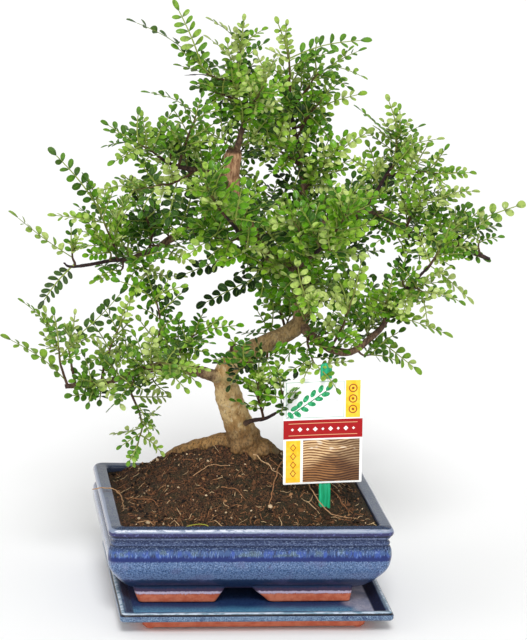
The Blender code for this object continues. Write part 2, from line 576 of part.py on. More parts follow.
def make_wood(bark):
    trunk = place("trunk", tube("trunk", [point for point, radius in TRUNK],
                                [radius for point, radius in TRUNK], 10), parts, bark)
    branches = collection("roots_and_limbs", cutters)
    for name, (first, last, route) in {**ROOTS, **LIMBS}.items():
        sides = 8 if first > 6 else 6
        place(name, tube(name, route, tapered(first, last, route), sides), branches)
    combine(trunk, 'UNION', branches)
    smooth(trunk, 60)
    return trunk


def wood_axes():
    """Every stretch of limb as (start, end, radius at start, radius at end, last of its limb)."""
    stretches = []
    for first, last, route in LIMBS.values():
        radii = tapered(first, last, route)
        for i in range(len(route) - 1):
            stretches.append((Vector(route[i]), Vector(route[i + 1]), radii[i], radii[i + 1],
                              i == len(route) - 2))
    trunk = [(Vector(point), radius) for point, radius in TRUNK]
    for (a, radius_a), (b, radius_b) in zip(trunk, trunk[1:]):
        stretches.append((a, b, radius_a, radius_b, False))
    return stretches


def seat(start, towards, stretches):
    """Where a shoot's stem leaves the bark, a running gap clear of it."""
    nearest = None
    for a, b, radius_a, radius_b, last in stretches:
        along = (b - a).normalized()
        share = max(0.0, min(1.0, (start - a).dot(along) / (b - a).length))
        foot = a.lerp(b, share)
        far = (start - foot).length
        if nearest is None or far < nearest[0]:
            at_tip = last and share > 0.97
            nearest = (far, foot, along, radius_a + (radius_b - radius_a) * share, at_tip)
    far, foot, along, radius, at_tip = nearest
    heading = (towards - foot).normalized()
    if at_tip:
        out = along
        radius = 0.0
    else:
        out = (heading - along * heading.dot(along)).normalized()
    slant = math.sqrt(max(0.0, 1 - heading.dot(out) ** 2))
    return foot + out * (radius + 0.4 + STEM_BASE * slant)


def along_stem(stem, share):
    """Point on a stem's axis and its heading there, never quite at its end face."""
    place_on = min(share, 0.96) * (len(stem) - 1)
    i = min(int(place_on), len(stem) - 2)
    return stem[i].lerp(stem[i + 1], place_on - i), (stem[i + 1] - stem[i]).normalized()


def leaf_matrix(base, tip, lean, grow=0.0):
    """Frame of a leaf's blade: Y along it, Z out of its face."""
    axis = (tip - base).normalized()
    face = math.cos(lean) * UP + math.sin(lean) * FRONT
    face = face - axis * face.dot(axis)
    if face.length < 0.2:
        face = FRONT - axis * FRONT.dot(axis)
    face.normalize()
    side = axis.cross(face)
    turn = Matrix((side, axis, face)).transposed().to_4x4()
    length = (tip - base).length + grow
    width = max(LEAF_WIDTHS[0], min(LEAF_WIDTHS[1], LEAF_SLIMNESS * length))
    size = Matrix.Diagonal((width / 2 + grow, length / 2, LEAF_THICK + 2 * grow, 1))
    return Matrix.Translation(base + axis * length / 2) @ turn @ size


def leaf_mesh(name, matrix):
    bm = bmesh.new()
    bmesh.ops.create_cone(bm, cap_ends=True, segments=6, radius1=1, radius2=1, depth=1,
                          matrix=matrix)
    return mesh_from(bm, name)


def grown_leaves(stem, count, chance):
    """Leaves set alternately round a stem, turned up to the light, with one at its end."""
    leaves = []
    turn = chance.uniform(0, math.tau)
    for i in range(count):
        share = 0.15 + 0.85 * (i + 0.5) / count
        base, heading = along_stem(stem, share)
        side = heading.cross(UP if abs(heading.z) < 0.9 else FRONT).normalized()
        turn += GOLDEN_ANGLE
        side = Matrix.Rotation(turn, 3, heading) @ side
        aim = (heading * 0.55 + side * 0.8 + UP * 0.15).normalized()
        if i == count - 1:
            base, heading = along_stem(stem, 1.0)
            aim = (heading + UP * 0.2).normalized()
        length = chance.uniform(*LEAF_LENGTHS) * (1 - 0.2 * share)
        lean = math.radians(chance.uniform(5, 60))
        leaves.append((base, base + aim * length, lean))
    return leaves


def make_shoots(leafy, standing):
    """Stems first, then each leaf that has room clear of the rest of the plant."""
    stretches = wood_axes()
    stems = {}
    for name, (count, route, set_leaves) in SHOOTS.items():
        stem = [Vector(point) for point in route]
        stem[0] = seat(stem[0], stem[1], stretches)
        radii = tapered(STEM_BASE, STEM_TIP, stem)
        shoot = place("shoot_" + name, tube(name, stem, radii, STEM_SIDES), parts, leafy)
        smooth(shoot)
        stems[name] = (stem, shoot, surface(shoot.data))
    blades = {}
    for number, (name, (count, route, set_leaves)) in enumerate(SHOOTS.items()):
        chance = random.Random(number)
        stem, shoot, own = stems[name]
        wanted = [(along_stem(stem, share)[0], Vector(tip), math.radians(lean))
                  for share, tip, lean in set_leaves]
        wanted += grown_leaves(stem, count, chance)
        others = standing + [tree for other, (s, o, tree) in stems.items() if other != name]
        others += [tree for other, trees in blades.items() for tree in trees]
        mine = []
        leaves = collection("leaves_" + name, cutters)
        for base, tip, lean in wanted:
            if len(mine) == LEAVES_A_SHOOT:
                break
            for turn in (0, 25, -25, 50):
                leaned = lean + math.radians(turn)
                probe = leaf_mesh("probe", leaf_matrix(base, tip, leaned, LEAF_CLEARANCE))
                probe.transform(Matrix.Scale(MM, 4))
                room = surface(probe)
                bpy.data.meshes.remove(probe)
                if not any(room.overlap(tree) for tree in others):
                    leaf = place("%s_leaf_%d" % (name, len(mine) + 1),
                                 leaf_mesh("leaf", leaf_matrix(base, tip, leaned)), leaves)
                    mine.append(surface(leaf.data))
                    break
        blades[name] = mine
        if mine:
            combine(shoot, 'UNION', leaves)


clear_scene()
parts = collection("chinese_pepper_bonsai")
cutters = collection("cutters")
stand = bpy.data.objects.new("plant_stand", None)
stand.location = POT_STANDS_AT
parts.objects.link(stand)

pot = make_pot(material("blue_glaze", (0.045, 0.09, 0.24), 0.2))
saucer = make_saucer(material("saucer_glaze", (0.06, 0.14, 0.26), 0.25))
green_plastic = material("green_plastic", (0.02, 0.32, 0.18), 0.4)
for number, x in enumerate((-DRAIN_HOLE_X, DRAIN_HOLE_X), 1):
    make_drain_mesh(number, x, green_plastic)
soil = make_soil(material("peat", (0.06, 0.03, 0.015), 0.95))
card, stake = make_label(material("printed_card", (0.8, 0.75, 0.7), 0.35), green_plastic)
trunk = make_wood(material("bark", (0.35, 0.24, 0.13), 0.85))
bpy.context.view_layer.update()
standing = [finished_surface(obj) for obj in (pot, soil, card, stake, trunk)]
make_shoots(material("leaves", (0.09, 0.27, 0.03), 0.4), standing)
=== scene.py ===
"""Chinese pepper bonsai in its glazed pot: the finish of every piece, the studio and the camera.

Each piece is drawn in millimetres round the pot's centre, +Z up and the pot's front facing -Y, and
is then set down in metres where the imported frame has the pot.
"""
import math

import bmesh
import bpy
import numpy as np
from mathutils import Matrix, Vector, noise
from mathutils.kdtree import KDTree


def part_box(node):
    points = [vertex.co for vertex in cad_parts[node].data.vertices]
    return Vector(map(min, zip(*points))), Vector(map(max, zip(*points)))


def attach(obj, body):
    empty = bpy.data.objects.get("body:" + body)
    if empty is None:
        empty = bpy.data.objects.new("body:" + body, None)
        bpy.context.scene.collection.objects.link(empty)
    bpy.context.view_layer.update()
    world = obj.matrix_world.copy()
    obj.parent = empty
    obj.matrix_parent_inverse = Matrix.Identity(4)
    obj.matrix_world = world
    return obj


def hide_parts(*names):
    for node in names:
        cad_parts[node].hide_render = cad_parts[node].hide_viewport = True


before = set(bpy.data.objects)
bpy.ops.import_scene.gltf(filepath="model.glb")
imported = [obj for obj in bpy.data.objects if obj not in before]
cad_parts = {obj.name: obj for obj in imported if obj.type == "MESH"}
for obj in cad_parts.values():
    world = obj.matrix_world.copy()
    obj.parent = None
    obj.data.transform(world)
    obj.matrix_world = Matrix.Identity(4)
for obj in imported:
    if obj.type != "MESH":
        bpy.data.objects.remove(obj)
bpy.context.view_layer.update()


# Saucer: a shallow drip tray of fired clay that carries the pot, pressed in a mould. Glossy blue
# glaze runs over its lip and inside; the base band and the four nubs that it stands on are left
# bare terracotta.
MM = 0.001
pot_low, pot_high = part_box("pot")
POT_STANDS_AT = Vector(((pot_low.x + pot_high.x) / 2, (pot_low.y + pot_high.y) / 2, 0.0))
SET_DOWN = Matrix.Translation(POT_STANDS_AT) @ Matrix.Scale(MM, 4)
# The noise is seeded, so that every run gives the same unevenness
noise.seed_set(5)
SAUCER_AT = (4.7, -12.5)
SAUCER_HALF = (105.4, 84.75)
NUB_AT = (80.5, 64.5)


def paint(red, green, blue):
    """The linear colour of a paint chip given as it looks on a screen, 0 to 255."""
    chip = [c / 255 for c in (red, green, blue)]
    return (*(c / 12.92 if c < 0.04 else ((c + 0.055) / 1.055) ** 2.4 for c in chip), 1.0)


def maths(operation, swapped=False):
    """An operator of shader values: it adds a Math node to their finish."""
    def worked(value, other=0.0):
        terms = (other, value) if swapped else (value, other)
        return value.finish.node('Math', {"operation": operation}, dict(enumerate(terms)))
    return worked


class Value:
    """A shader socket of a finish that Python's operators work on."""
    __add__ = __radd__ = maths('ADD')
    __sub__ = maths('SUBTRACT')
    __rsub__ = maths('SUBTRACT', swapped=True)
    __mul__ = __rmul__ = maths('MULTIPLY')
    __truediv__ = maths('DIVIDE')
    __rtruediv__ = maths('DIVIDE', swapped=True)
    __abs__ = maths('ABSOLUTE')
    most = maths('MAXIMUM')
    left_over = maths('FLOORED_MODULO')
    sine = maths('SINE')

    def __init__(self, finish, socket):
        self.finish, self.socket = finish, socket

    def rise(self, low, high):
        """0 up to low and 1 from high on, with a smooth rise between."""
        return self.finish.node('MapRange', {"interpolation_type": 'SMOOTHSTEP'},
                                {"Value": self, "From Min": low, "From Max": high})

    def fade(self, first, last, low, high):
        """One colour up to low and another from high on."""
        return self.finish.mix(first, last, self.rise(low, high))


class Finish:
    """A finish made of nodes: uniform values go on the shader, all others through node()."""

    def __init__(self, name, **uniform):
        self.material = bpy.data.materials.new(name)
        self.material.use_nodes = True
        self.tree = self.material.node_tree
        self.shader = self.tree.nodes["Principled BSDF"]
        for socket, value in uniform.items():
            self.shader.inputs[socket.replace("_", " ")].default_value = value
        self.spot = self.moved(self.node('TexCoord', output="Object"), POT_STANDS_AT, (MM, MM, MM))

    def node(self, kind, settings=None, values=None, output=0):
        """Add a node: its settings are set first, then its sockets are set or linked."""
        node = self.tree.nodes.new("ShaderNode" + kind)
        for name, setting in (settings or {}).items():
            if name == "stops":
                ramp = node.color_ramp.elements
                for place, colour in setting[2:]:
                    ramp.new(place)
                for element, (place, colour) in zip(ramp, setting):
                    element.position, element.color = place, paint(*colour)
            else:
                setattr(node, name, setting)
        for name, value in (values or {}).items():
            self.feed(node.inputs[name], value)
        return Value(self, node.outputs[output])

    def feed(self, slot, value):
        if isinstance(value, Value):
            self.tree.links.new(value.socket, slot)
        else:
            slot.default_value = value

    def moved(self, where, location=(0, 0, 0), scale=(1, 1, 1), turn=(0, 0, 0)):
        """A place as it reads from a frame that stands at a location, scaled and turned."""
        return self.node('Mapping', {"vector_type": 'TEXTURE'},
                         {"Vector": where, "Location": location, "Scale": scale, "Rotation": turn})

    def axes(self, where=None):
        return [self.node('SeparateXYZ', None, {"Vector": where or self.spot}, name) for name in "XYZ"]

    def read(self, name):
        """A value that the mesh carries at its points."""
        return self.node('Attribute', {"attribute_name": name}, output="Fac")

    def grain(self, size, stretch=(1, 1, 1), detail=2.0, rough=0.5, shift=0.0):
        """Noise from 0 to 1, in lumps about size millimetres across."""
        where = self.moved(self.spot, (shift,) * 3, [size * s for s in stretch])
        return self.node('TexNoise', None,
                         {"Vector": where, "Scale": 1.0, "Detail": detail, "Roughness": rough})

    def cells(self, size):
        """How far the nearest of many strewn points is, in steps of size millimetres."""
        where = self.moved(self.spot, scale=(size, size, size))
        return self.node('TexVoronoi', None, {"Vector": where, "Scale": 1.0})

    def mix(self, a, b, share):
        """Two colours, each a value or a paint chip, mixed by a share or by a mask."""
        a, b = (paint(*colour) if isinstance(colour, tuple) else colour for colour in (a, b))
        return self.node('Mix', {"data_type": 'RGBA'}, {0: share, 6: a, 7: b}, 2)

    def layers(self, colour, *over):
        """A colour with others laid over it in turn, each by its mask."""
        for hue, mask in over:
            colour = self.mix(colour, hue, mask)
        return colour

    def coat(self, colour, roughness=None, height=None, gloss=None):
        """Feed what varies over the surface: colour, roughness, relief in mm and coat weight."""
        for slot, value in (("Base Color", colour), ("Roughness", roughness), ("Coat Weight", gloss)):
            if value is not None:
                self.feed(self.shader.inputs[slot], value)
        if height is not None:
            bump = self.node('Bump', None, {"Height": height, "Distance": MM})
            self.feed(self.shader.inputs["Normal"], bump)


class Shape:
    """A mesh in the making: its points in millimetres, its faces, and values for its finish."""

    def __init__(self):
        self.points, self.faces, self.values, self.count = [], [], {}, 0

    def add(self, points, faces, **values):
        self.points.append(points)
        self.faces += [tuple(self.count + i for i in face) for face in faces]
        for name, value in values.items():
            self.values.setdefault(name, []).append(np.broadcast_to(value, len(points)))
        self.count += len(points)

    def set_down(self, name, finish, crease=40):
        """Make the piece, with edges sharper than crease degrees left hard."""
        mesh = bpy.data.meshes.new(name)
        mesh.from_pydata(np.vstack(self.points).tolist(), [], self.faces)
        mesh.transform(SET_DOWN)
        for value_name, runs in self.values.items():
            layer = mesh.attributes.new(value_name, 'FLOAT', 'POINT')
            layer.data.foreach_set("value", np.concatenate(runs).astype(np.float32))
        mesh.materials.append(finish.material)
        mesh.shade_smooth()
        mesh.set_sharp_from_angle(angle=math.radians(crease))
        piece = bpy.data.objects.new(name, mesh)
        bpy.context.scene.collection.objects.link(piece)
        return piece


def skin(rings, flat_ends=False):
    """Closed mesh over a stack of rings with equal counts of points, wound counter-clockwise."""
    count = len(rings[0])
    faces = []
    for low in range(0, count * (len(rings) - 1), count):
        faces += [(low + i, low + (i + 1) % count, low + count + (i + 1) % count, low + count + i)
                  for i in range(count)]
    top = count * (len(rings) - 1)
    points = np.vstack(rings)
    if flat_ends:
        return points, faces + [tuple(reversed(range(count))), tuple(range(top, top + count))]
    foot, head = len(points), len(points) + 1
    for i in range(count):
        j = (i + 1) % count
        faces += [(foot, j, i), (head, top + i, top + j)]
    return np.vstack([points, rings[0].mean(0), rings[-1].mean(0)]), faces


def round_ring(x, y, radius, z, sides):
    angles = np.linspace(0, math.tau, sides, endpoint=False)
    return np.column_stack([x + radius * np.cos(angles), y + radius * np.sin(angles), np.full(sides, z)])


def outline(half_x, half_y, corner, z, centre=(0.0, 0.0)):
    """Rectangle with round corners, counter-clockwise, with as many points at every size."""
    bend, long_side, short_side = 7, 45, 34
    arcs = []
    for turn, (sx, sy) in enumerate(((1, 1), (-1, 1), (-1, -1), (1, -1))):
        angles = np.radians(90 * (turn + np.arange(bend + 1) / bend))
        arcs.append(np.column_stack([centre[0] + sx * (half_x - corner) + corner * np.cos(angles),
                                     centre[1] + sy * (half_y - corner) + corner * np.sin(angles),
                                     np.full(bend + 1, z)]))
    ring = []
    for turn, arc in enumerate(arcs):
        steps = np.linspace(0, 1, (long_side, short_side)[turn % 2])[1:-1, None]
        ring += [arc, arc[-1] + (arcs[(turn + 1) % 4][0] - arc[-1]) * steps]
    return np.vstack(ring)


def rounded(before, at, after, radius, shares):
    """Points of the bend that takes the place of a corner."""
    start = at + (before - at) * min(0.5, radius / np.linalg.norm(before - at))
    end = at + (after - at) * min(0.5, radius / np.linalg.norm(after - at))
    return [start * (1 - t) ** 2 + 2 * at * t * (1 - t) + end * t * t for t in shares]


def eased(profile, longest=2.5):
    """Round each corner of a profile by its last number, then cut the long stretches up."""
    rows = np.array(profile, float)
    soft = [rows[0, :-1]]
    for before, at, after in zip(rows, rows[1:], rows[2:]):
        soft += rounded(before[:-1], at[:-1], after[:-1], at[-1], np.linspace(0, 1, 5))
    soft.append(rows[-1, :-1])
    fine = [soft[0]]
    for a, b in zip(soft, soft[1:]):
        count = max(1, math.ceil(np.linalg.norm(b - a) / longest))
        fine += [a + (b - a) * i / count for i in range(1, count + 1)]
    return fine


def to_middle(row):
    """The end row of a profile drawn in to the middle at its own height."""
    half_x, half_y, corner, z = row
    return [(half_x * s, half_y * s, corner * s, z) for s in (0.93, 0.85, 0.75, 0.6, 0.45, 0.3, 0.15, 0.05)]


def handmade(points, size, amount):
    """The slight unevenness of pressed and fired clay."""
    return points + amount * np.array([noise.noise_vector(Vector(p) / size) for p in points])


# Each row: half length, half depth, corner radius, height, and how far the corner is rounded
saucer_rows = eased([(73.2, 56.9, 6, 6.0, 0), (73.2, 56.9, 6, 1.6, 0.6), (86.2, 69.9, 6, 1.6, 0.8),
                     (87.2, 70.9, 5, 6.5, 0.5), (102.4, 81.8, 3.0, 10.6, 1.0),
                     (104.6, 84.0, 3.2, 11.4, 0.5), (105.4, 84.75, 3.4, 12.6, 0.7),
                     (105.4, 84.75, 3.4, 15.7, 0.5), (104.3, 83.65, 3.0, 16.2, 0.3),
                     (104.1, 83.45, 3.0, 17.4, 0.4), (103.2, 82.55, 2.8, 18.0, 0.5),
                     (100.4, 79.8, 2.4, 18.0, 0.6), (99.4, 78.8, 2.3, 17.2, 0.8),
                     (93.9, 73.3, 2, 11.7, 2.4), (88.0, 67.4, 2, 11.5, 1.0), (86.0, 65.4, 2, 11.5, 0)])
saucer_rows = to_middle(saucer_rows[0])[::-1] + saucer_rows + to_middle(saucer_rows[-1])
tray = Shape()
points, faces = skin([outline(*row, SAUCER_AT) for row in saucer_rows])
tray.add(handmade(points, 42.0, 0.35), faces)
nub = eased([(2.0, 2.0, 2.0, 0.0, 0), (3.6, 3.6, 3.6, 0.0, 0.8), (4.4, 4.4, 4.4, 3.5, 0.3),
             (4.4, 4.4, 4.4, 4.5, 0)])
for sx in (-1, 1):
    for sy in (-1, 1):
        nub_x, nub_y = SAUCER_AT[0] + NUB_AT[0] * sx, SAUCER_AT[1] + NUB_AT[1] * sy
        tray.add(*skin([round_ring(nub_x, nub_y, row[0], row[3], 20) for row in nub]))


def terracotta(finish):
    """Bare fired clay: its colour and its fine sandy relief."""
    clay = finish.layers(finish.grain(7.0, detail=4.0).fade((236, 138, 104), (214, 106, 74), 0.35, 0.65),
                         ((222, 146, 108), finish.grain(0.8, shift=40.0).rise(0.6, 0.72) * 0.6),
                         ((120, 52, 32), finish.cells(0.9).rise(0.22, 0.1) * 0.5))
    return clay, finish.grain(0.6, detail=3.0) * 0.12


tray_glaze = Finish("saucer_glaze", Coat_Roughness=0.08, Specular_IOR_Level=0.25)
x, y, z = tray_glaze.axes()
inset = (abs(x - SAUCER_AT[0]) - SAUCER_HALF[0]).most(abs(y - SAUCER_AT[1]) - SAUCER_HALF[1]) * -1.0
fleck = tray_glaze.grain(0.6, rough=0.7)
cloud = tray_glaze.grain(9.0, detail=3.0, shift=11.0)
# The lip: mottled face, painted shade as a dark line in its groove, and a painted highlight on its crest
gleam = tray_glaze.grain(3.0, (3, 1, 1), detail=3.0, shift=60.0)
lip = tray_glaze.layers(
    fleck.fade((36, 60, 96), (128, 152, 176), 0.42, 0.6),
    ((30, 46, 88), cloud.rise(0.5, 0.68) * 0.6),
    ((22, 34, 62), (z + fleck * 0.6).rise(12.4, 11.6)),
    ((10, 12, 28), (z + fleck * 0.5).rise(15.9, 16.2)),
    (gleam.fade((110, 138, 156), (184, 196, 210), 0.4, 0.6), (z + fleck * 0.9).rise(17.5, 17.9)),
    ((cloud + fleck * 0.4).fade((84, 104, 124), (44, 66, 104), 0.6, 0.85), inset.rise(3.0, 3.8)))
wall = tray_glaze.layers(fleck.fade((18, 20, 40), (30, 44, 84), 0.48, 0.66),
                         (fleck.fade((26, 40, 74), (86, 118, 146), 0.42, 0.62), x.rise(-70.0, -84.0) * 0.8))
# Painted light: a pale reflection along the bed's right side, and blue-green light behind its front lip
painted_light_behind_lip = (y + fleck * 8.0 + cloud * 6.0).rise(-54.0, -68.0) * (x + fleck * 12.0).rise(98.0, 80.0)
pale = (fleck * 0.4 + cloud * 0.6).fade((120, 124, 146), (158, 156, 172), 0.4, 0.6)
bed = tray_glaze.layers(fleck.fade((14, 34, 78), (46, 74, 118), 0.42, 0.64),
                        (pale, (x + cloud * 16.0).rise(80.0, 96.0)),
                        (fleck.fade((24, 88, 140), (124, 190, 210), 0.42, 0.62), painted_light_behind_lip * 0.85))
clay, sand = terracotta(tray_glaze)
bare = (z + tray_glaze.grain(4.0, shift=3.0) * 1.4).rise(8.4, 7.6)
within_lip = inset.rise(4.8, 6.0)
tray_glaze.coat(
    tray_glaze.layers(lip, (tray_glaze.mix(wall, bed, inset.rise(11.5, 13.0)), inset.rise(5.3, 6.0)),
                      (tray_glaze.mix(clay, (150, 84, 66), 0.45), bare)),
    roughness=bare.most(within_lip * 0.6) * 0.55 + 0.22 + 0.1 * fleck,
    height=(1 - bare) * tray_glaze.grain(6.0, detail=1.0) * 0.25 + bare * sand,
    gloss=(1 - bare) * (0.3 - 0.24 * within_lip))
saucer = tray.set_down("saucer_clay", tray_glaze)
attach(saucer, "root")
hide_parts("saucer")


# Pot: a rectangular bonsai pot of fired clay, with a round belly, grooved neck and flat lip, on four
# L-shaped feet. Blue glaze ran down it in the kiln, thin on the edges and pooled in streaks over the
# belly; the soles of the feet are bare terracotta. Two holes in its floor let water out.
POT_HALF = (110.0, 81.25)
LIP_CORNER = 7.0
POT_WALL = 11.1
FOOT_FROM, FOOT_TO = 12.0, 27.6
HOLE_RADIUS = 8
# Each row: how far in from the lip, height, and how far the corner is rounded
pot_profile = eased([(24.0, 24.0, 0), (22.6, 24.0, 0.5), (20.2, 25.8, 1.0), (15.8, 29.2, 2.0),
                     (11.3, 33.4, 2.5), (6.8, 39.0, 2.5), (3.3, 43.8, 2.5), (1.5, 48.0, 2.0),
                     (0.5, 53.0, 2.0), (0.2, 58.0, 2.0), (0.8, 62.0, 1.2), (1.9, 64.2, 0.6),
                     (2.8, 65.3, 0.5), (2.1, 66.4, 0.4), (2.1, 67.3, 0.4), (3.4, 68.6, 0.6),
                     (3.4, 70.2, 0.6), (2.0, 71.1, 0.4), (2.0, 72.0, 0.3), (2.7, 72.6, 0.3),
                     (0.7, 73.2, 0.5), (0.0, 74.8, 0.8), (0.0, 77.0, 1.2), (1.9, 79.6, 1.5),
                     (9.4, 79.6, 0.8), (10.6, 78.4, 0.7), (10.8, 72.0, 0.5), (11.5, 50.0, 2.0),
                     (16.0, 36.0, 2.5), (22.0, 31.0, 1.0), (26.0, 31.0, 0)])
pot_rows = [(POT_HALF[0] - into, POT_HALF[1] - into, max(3.0, LIP_CORNER - 0.25 * into), level)
            for into, level in pot_profile]
pot_rows = to_middle(pot_rows[0])[::-1] + pot_rows + to_middle(pot_rows[-1])
body = Shape()
points, faces = skin([outline(*row) for row in pot_rows])
body.add(handmade(points, 50.0, 0.4), faces)


def foot_ring(z, ease, sx, sy):
    """Outline of one L-shaped foot at a height: it flares out and its ends lean back, going up."""
    share = (z - FOOT_FROM) / 12.0
    out_x = (82.6 + 0.3 * share if sx > 0 else 83.0 + 4.3 * share) - ease
    out_y = 58.1 + 4.3 * share - ease
    end_x = (18.1 - 12.8 * share if sx > 0 else 23.1 - 5.3 * share) + ease
    end_y = 20.0 - 8.0 * min(1.0, share) ** 1.6 + ease
    in_x, in_y = 70.0 + ease, 46.1 + ease
    corners = np.array([(end_x, out_y), (end_x, in_y), (in_x, in_y), (in_x, end_y), (out_x, end_y),
                        (out_x, out_y)])
    ring = []
    for i in range(6):
        ring += rounded(corners[i - 1], corners[i], corners[(i + 1) % 6], 3.0, (0, 0.33, 0.67, 1))
    ring = np.array([(sx * cx, sy * cy, z) for cx, cy in ring])
    return ring if sx * sy > 0 else ring[::-1]


feet = Shape()
for sx, sy in ((1, 1), (-1, 1), (-1, -1), (1, -1)):
    heights = [(FOOT_FROM, 1.2), (12.25, 0.5), (12.9, 0.0)]
    heights += [(z, 0.0) for z in np.linspace(14.0, FOOT_TO, 12)]
    points, faces = skin([foot_ring(z, ease, sx, sy) for z, ease in heights], flat_ends=True)
    feet.add(handmade(points, 13.0, 0.35), faces)

pot_glaze = Finish("blue_glaze", Coat_Roughness=0.07, Specular_IOR_Level=0.3)
x, y, z = pot_glaze.axes()
inset = (abs(x) - POT_HALF[0]).most(abs(y) - POT_HALF[1]) * -1.0
streak = pot_glaze.grain(1.3, (1, 1, 5), detail=3.0, rough=0.7)
run = pot_glaze.grain(6.0, (1, 1, 4), detail=3.0, shift=17.0)
speckle = pot_glaze.grain(0.7, rough=0.8)
drift = pot_glaze.grain(14.0, detail=3.0, shift=5.0)
salt = pot_glaze.grain(1.1, rough=0.7, shift=90.0)
mottle = pot_glaze.grain(0.9, (1.6, 1.6, 0.8), rough=0.7, shift=120.0)
clay, sand = terracotta(pot_glaze)
# Each band up the wall: where it starts, how soft, how ragged, and its colour
# Band 76.9 is paler glaze, partly painted highlight; band 72.5, under the lip, is painted shade
BANDS = [(20.2, 0.35, 1.6, (222, 202, 222)), (22.6, 0.5, 1.2, (84, 64, 88)), (25.5, 1.5, 2.5, (40, 54, 84)),
         (36.4, 1.2, 2.5, (108, 130, 172)), (43.0, 4.0, 3.0, (82, 110, 152)), (53.6, 0.6, 1.2, (2, 30, 96)),
         (58.2, 0.8, 3.5, (50, 78, 124)), (62.2, 1.0, 3.0, (40, 58, 92)), (64.6, 0.4, 0.8, (28, 40, 70)),
         (66.2, 0.3, 0.6, (66, 80, 114)), (67.9, 0.3, 0.6, (50, 62, 94)), (70.9, 0.3, 0.5, (100, 112, 146)),
         (72.5, 0.2, 0.3, (12, 16, 42)), (74.4, 0.4, 1.0, (42, 42, 88)), (76.9, 0.3, 0.8, (122, 134, 158))]
banded = clay
for start, soft, ragged, hue in BANDS:
    level = z + (streak - 0.5) * ragged * 2.0 + (run - 0.5) * ragged
    banded = pot_glaze.mix(banded, hue, level.rise(start - soft, start + soft))
# Where things lie: the shoulder with its streaks, belly, neck, the lip's face, its flat and its front
shoulder = (z + run * 3.0).rise(57.5, 60.0) * (z + run * 4.0).rise(67.0, 63.0)
belly = z.rise(26.0, 30.0) * z.rise(55.0, 53.0)
neck = z.rise(61.0, 63.0) * z.rise(73.4, 72.6)
lip_face = z.rise(73.2, 74.0) * inset.rise(2.4, 1.4)
flat = z.rise(79.0, 79.4) * inset.rise(1.6, 2.4)
front_side = y.rise(-70.0, -72.5)
# A painted highlight along the lip's front edge, broken into dashes, fading to the right
painted_lip_highlight = z.rise(77.6, 78.4) * inset.rise(2.6, 1.8) * y.rise(-77.5, -79.0)
broken = pot_glaze.grain(1.6, (3, 1, 1), detail=3.0, rough=0.7, shift=150.0).rise(0.36, 0.52)
# The flat of the lip: thin glaze, cobalt flecks, and along the front a dark painted reflection of the soil
rim = pot_glaze.layers(
    pot_glaze.grain(1.2, detail=3.0, shift=9.0).fade((82, 94, 106), (30, 46, 96), 0.48, 0.62),
    ((54, 74, 100), drift.rise(0.4, 0.65) * 0.7),
    (speckle.fade((8, 20, 56), (92, 122, 158), 0.5, 0.68), front_side * 0.85))
# The inner wall is plain, painted dark as shade; near the soil it is brown, both splashed earth and shade
inner = pot_glaze.mix((speckle + drift * 0.5).fade((70, 82, 102), (30, 42, 74), 0.6, 0.85), (66, 52, 40),
                      (z + speckle * 8.0).rise(81.0, 74.0) * 0.75)
glazed = pot_glaze.layers(
    banded,
    ((44, 74, 158), shoulder * (streak * 0.5 + run * 0.5).rise(0.47, 0.6) * 0.8),
    (speckle.fade((38, 58, 76), (104, 128, 136), 0.4, 0.62),
     shoulder * z.rise(57.0, 59.0) * drift.rise(0.5, 0.6) * 0.8),
    ((126, 152, 196), shoulder * pot_glaze.grain(0.9, (1, 1, 4), shift=44.0).rise(0.54, 0.68) * 0.6),
    ((20, 28, 62),
     shoulder * pot_glaze.grain(3.2, (1, 1, 3), detail=3.0, shift=70.0).rise(0.54, 0.66) * 0.75),
    ((20, 44, 84), belly * salt.rise(0.48, 0.64) * 0.85),
    ((146, 164, 196), belly * salt.rise(0.46, 0.32) * z.rise(34.0, 40.0) * 0.7),
    ((18, 26, 56), neck * mottle.rise(0.52, 0.64) * 0.8),
    ((132, 146, 172), neck * mottle.rise(0.46, 0.34) * 0.6),
    ((104, 96, 136), belly * drift.rise(0.5, 0.7) * 0.3),
    ((26, 24, 76), lip_face * z.rise(77.6, 76.2) * streak.rise(0.46, 0.6) * 0.85),
    ((96, 104, 156), lip_face * pot_glaze.grain(1.6, detail=3.0, shift=33.0).rise(0.56, 0.68) * 0.6),
    (rim, flat),
    # The painted highlight along the lip's front edge
    ((222, 226, 236), painted_lip_highlight * broken * (0.25 + 0.6 * x.rise(60.0, -50.0))),
    (inner, inset.rise(9.2, 10.0) * z.rise(37.0, 38.0)))
bare = (z + (streak - 0.5) * 3.0 + (run - 0.5) * 1.6).rise(20.4, 19.8)
drawn = pot_glaze.grain(7.0, (1, 1, 1.5), detail=1.0) * 0.35 + streak * 0.1 + speckle * 0.06
# In the grooves of the neck the glaze came out dull, and the pot's two ends are the glossiest
dull = bare.most(flat * front_side * 0.8).most(z.rise(60.5, 63.0) * z.rise(73.4, 72.8))
diagonal = POT_HALF[0] - POT_HALF[1]
ends = (abs(x) - abs(y)).rise(diagonal - 1.0, diagonal + 1.0)
pot_glaze.coat(glazed, roughness=dull * 0.5 + 0.26 + speckle * 0.16,
               height=bare * sand + (1 - bare) * drawn,
               gloss=(0.32 + 0.6 * ends) * (1 - dull * (1 - ends)) * (1 - bare))


def applied(piece):
    """Make a piece's modifiers part of its mesh, and return that mesh."""
    bpy.context.view_layer.update()
    made = bpy.data.meshes.new_from_object(piece.evaluated_get(bpy.context.evaluated_depsgraph_get()))
    piece.modifiers.clear()
    piece.data = made
    return made


def joined(piece, other, operation):
    """Join a piece with another, or cut it by that."""
    step = piece.modifiers.new("joint", 'BOOLEAN')
    step.operation = operation
    step.object = other
    made = applied(piece)
    made.shade_smooth()
    made.set_sharp_from_angle(angle=math.radians(40))
    bpy.data.objects.remove(other, do_unlink=True)


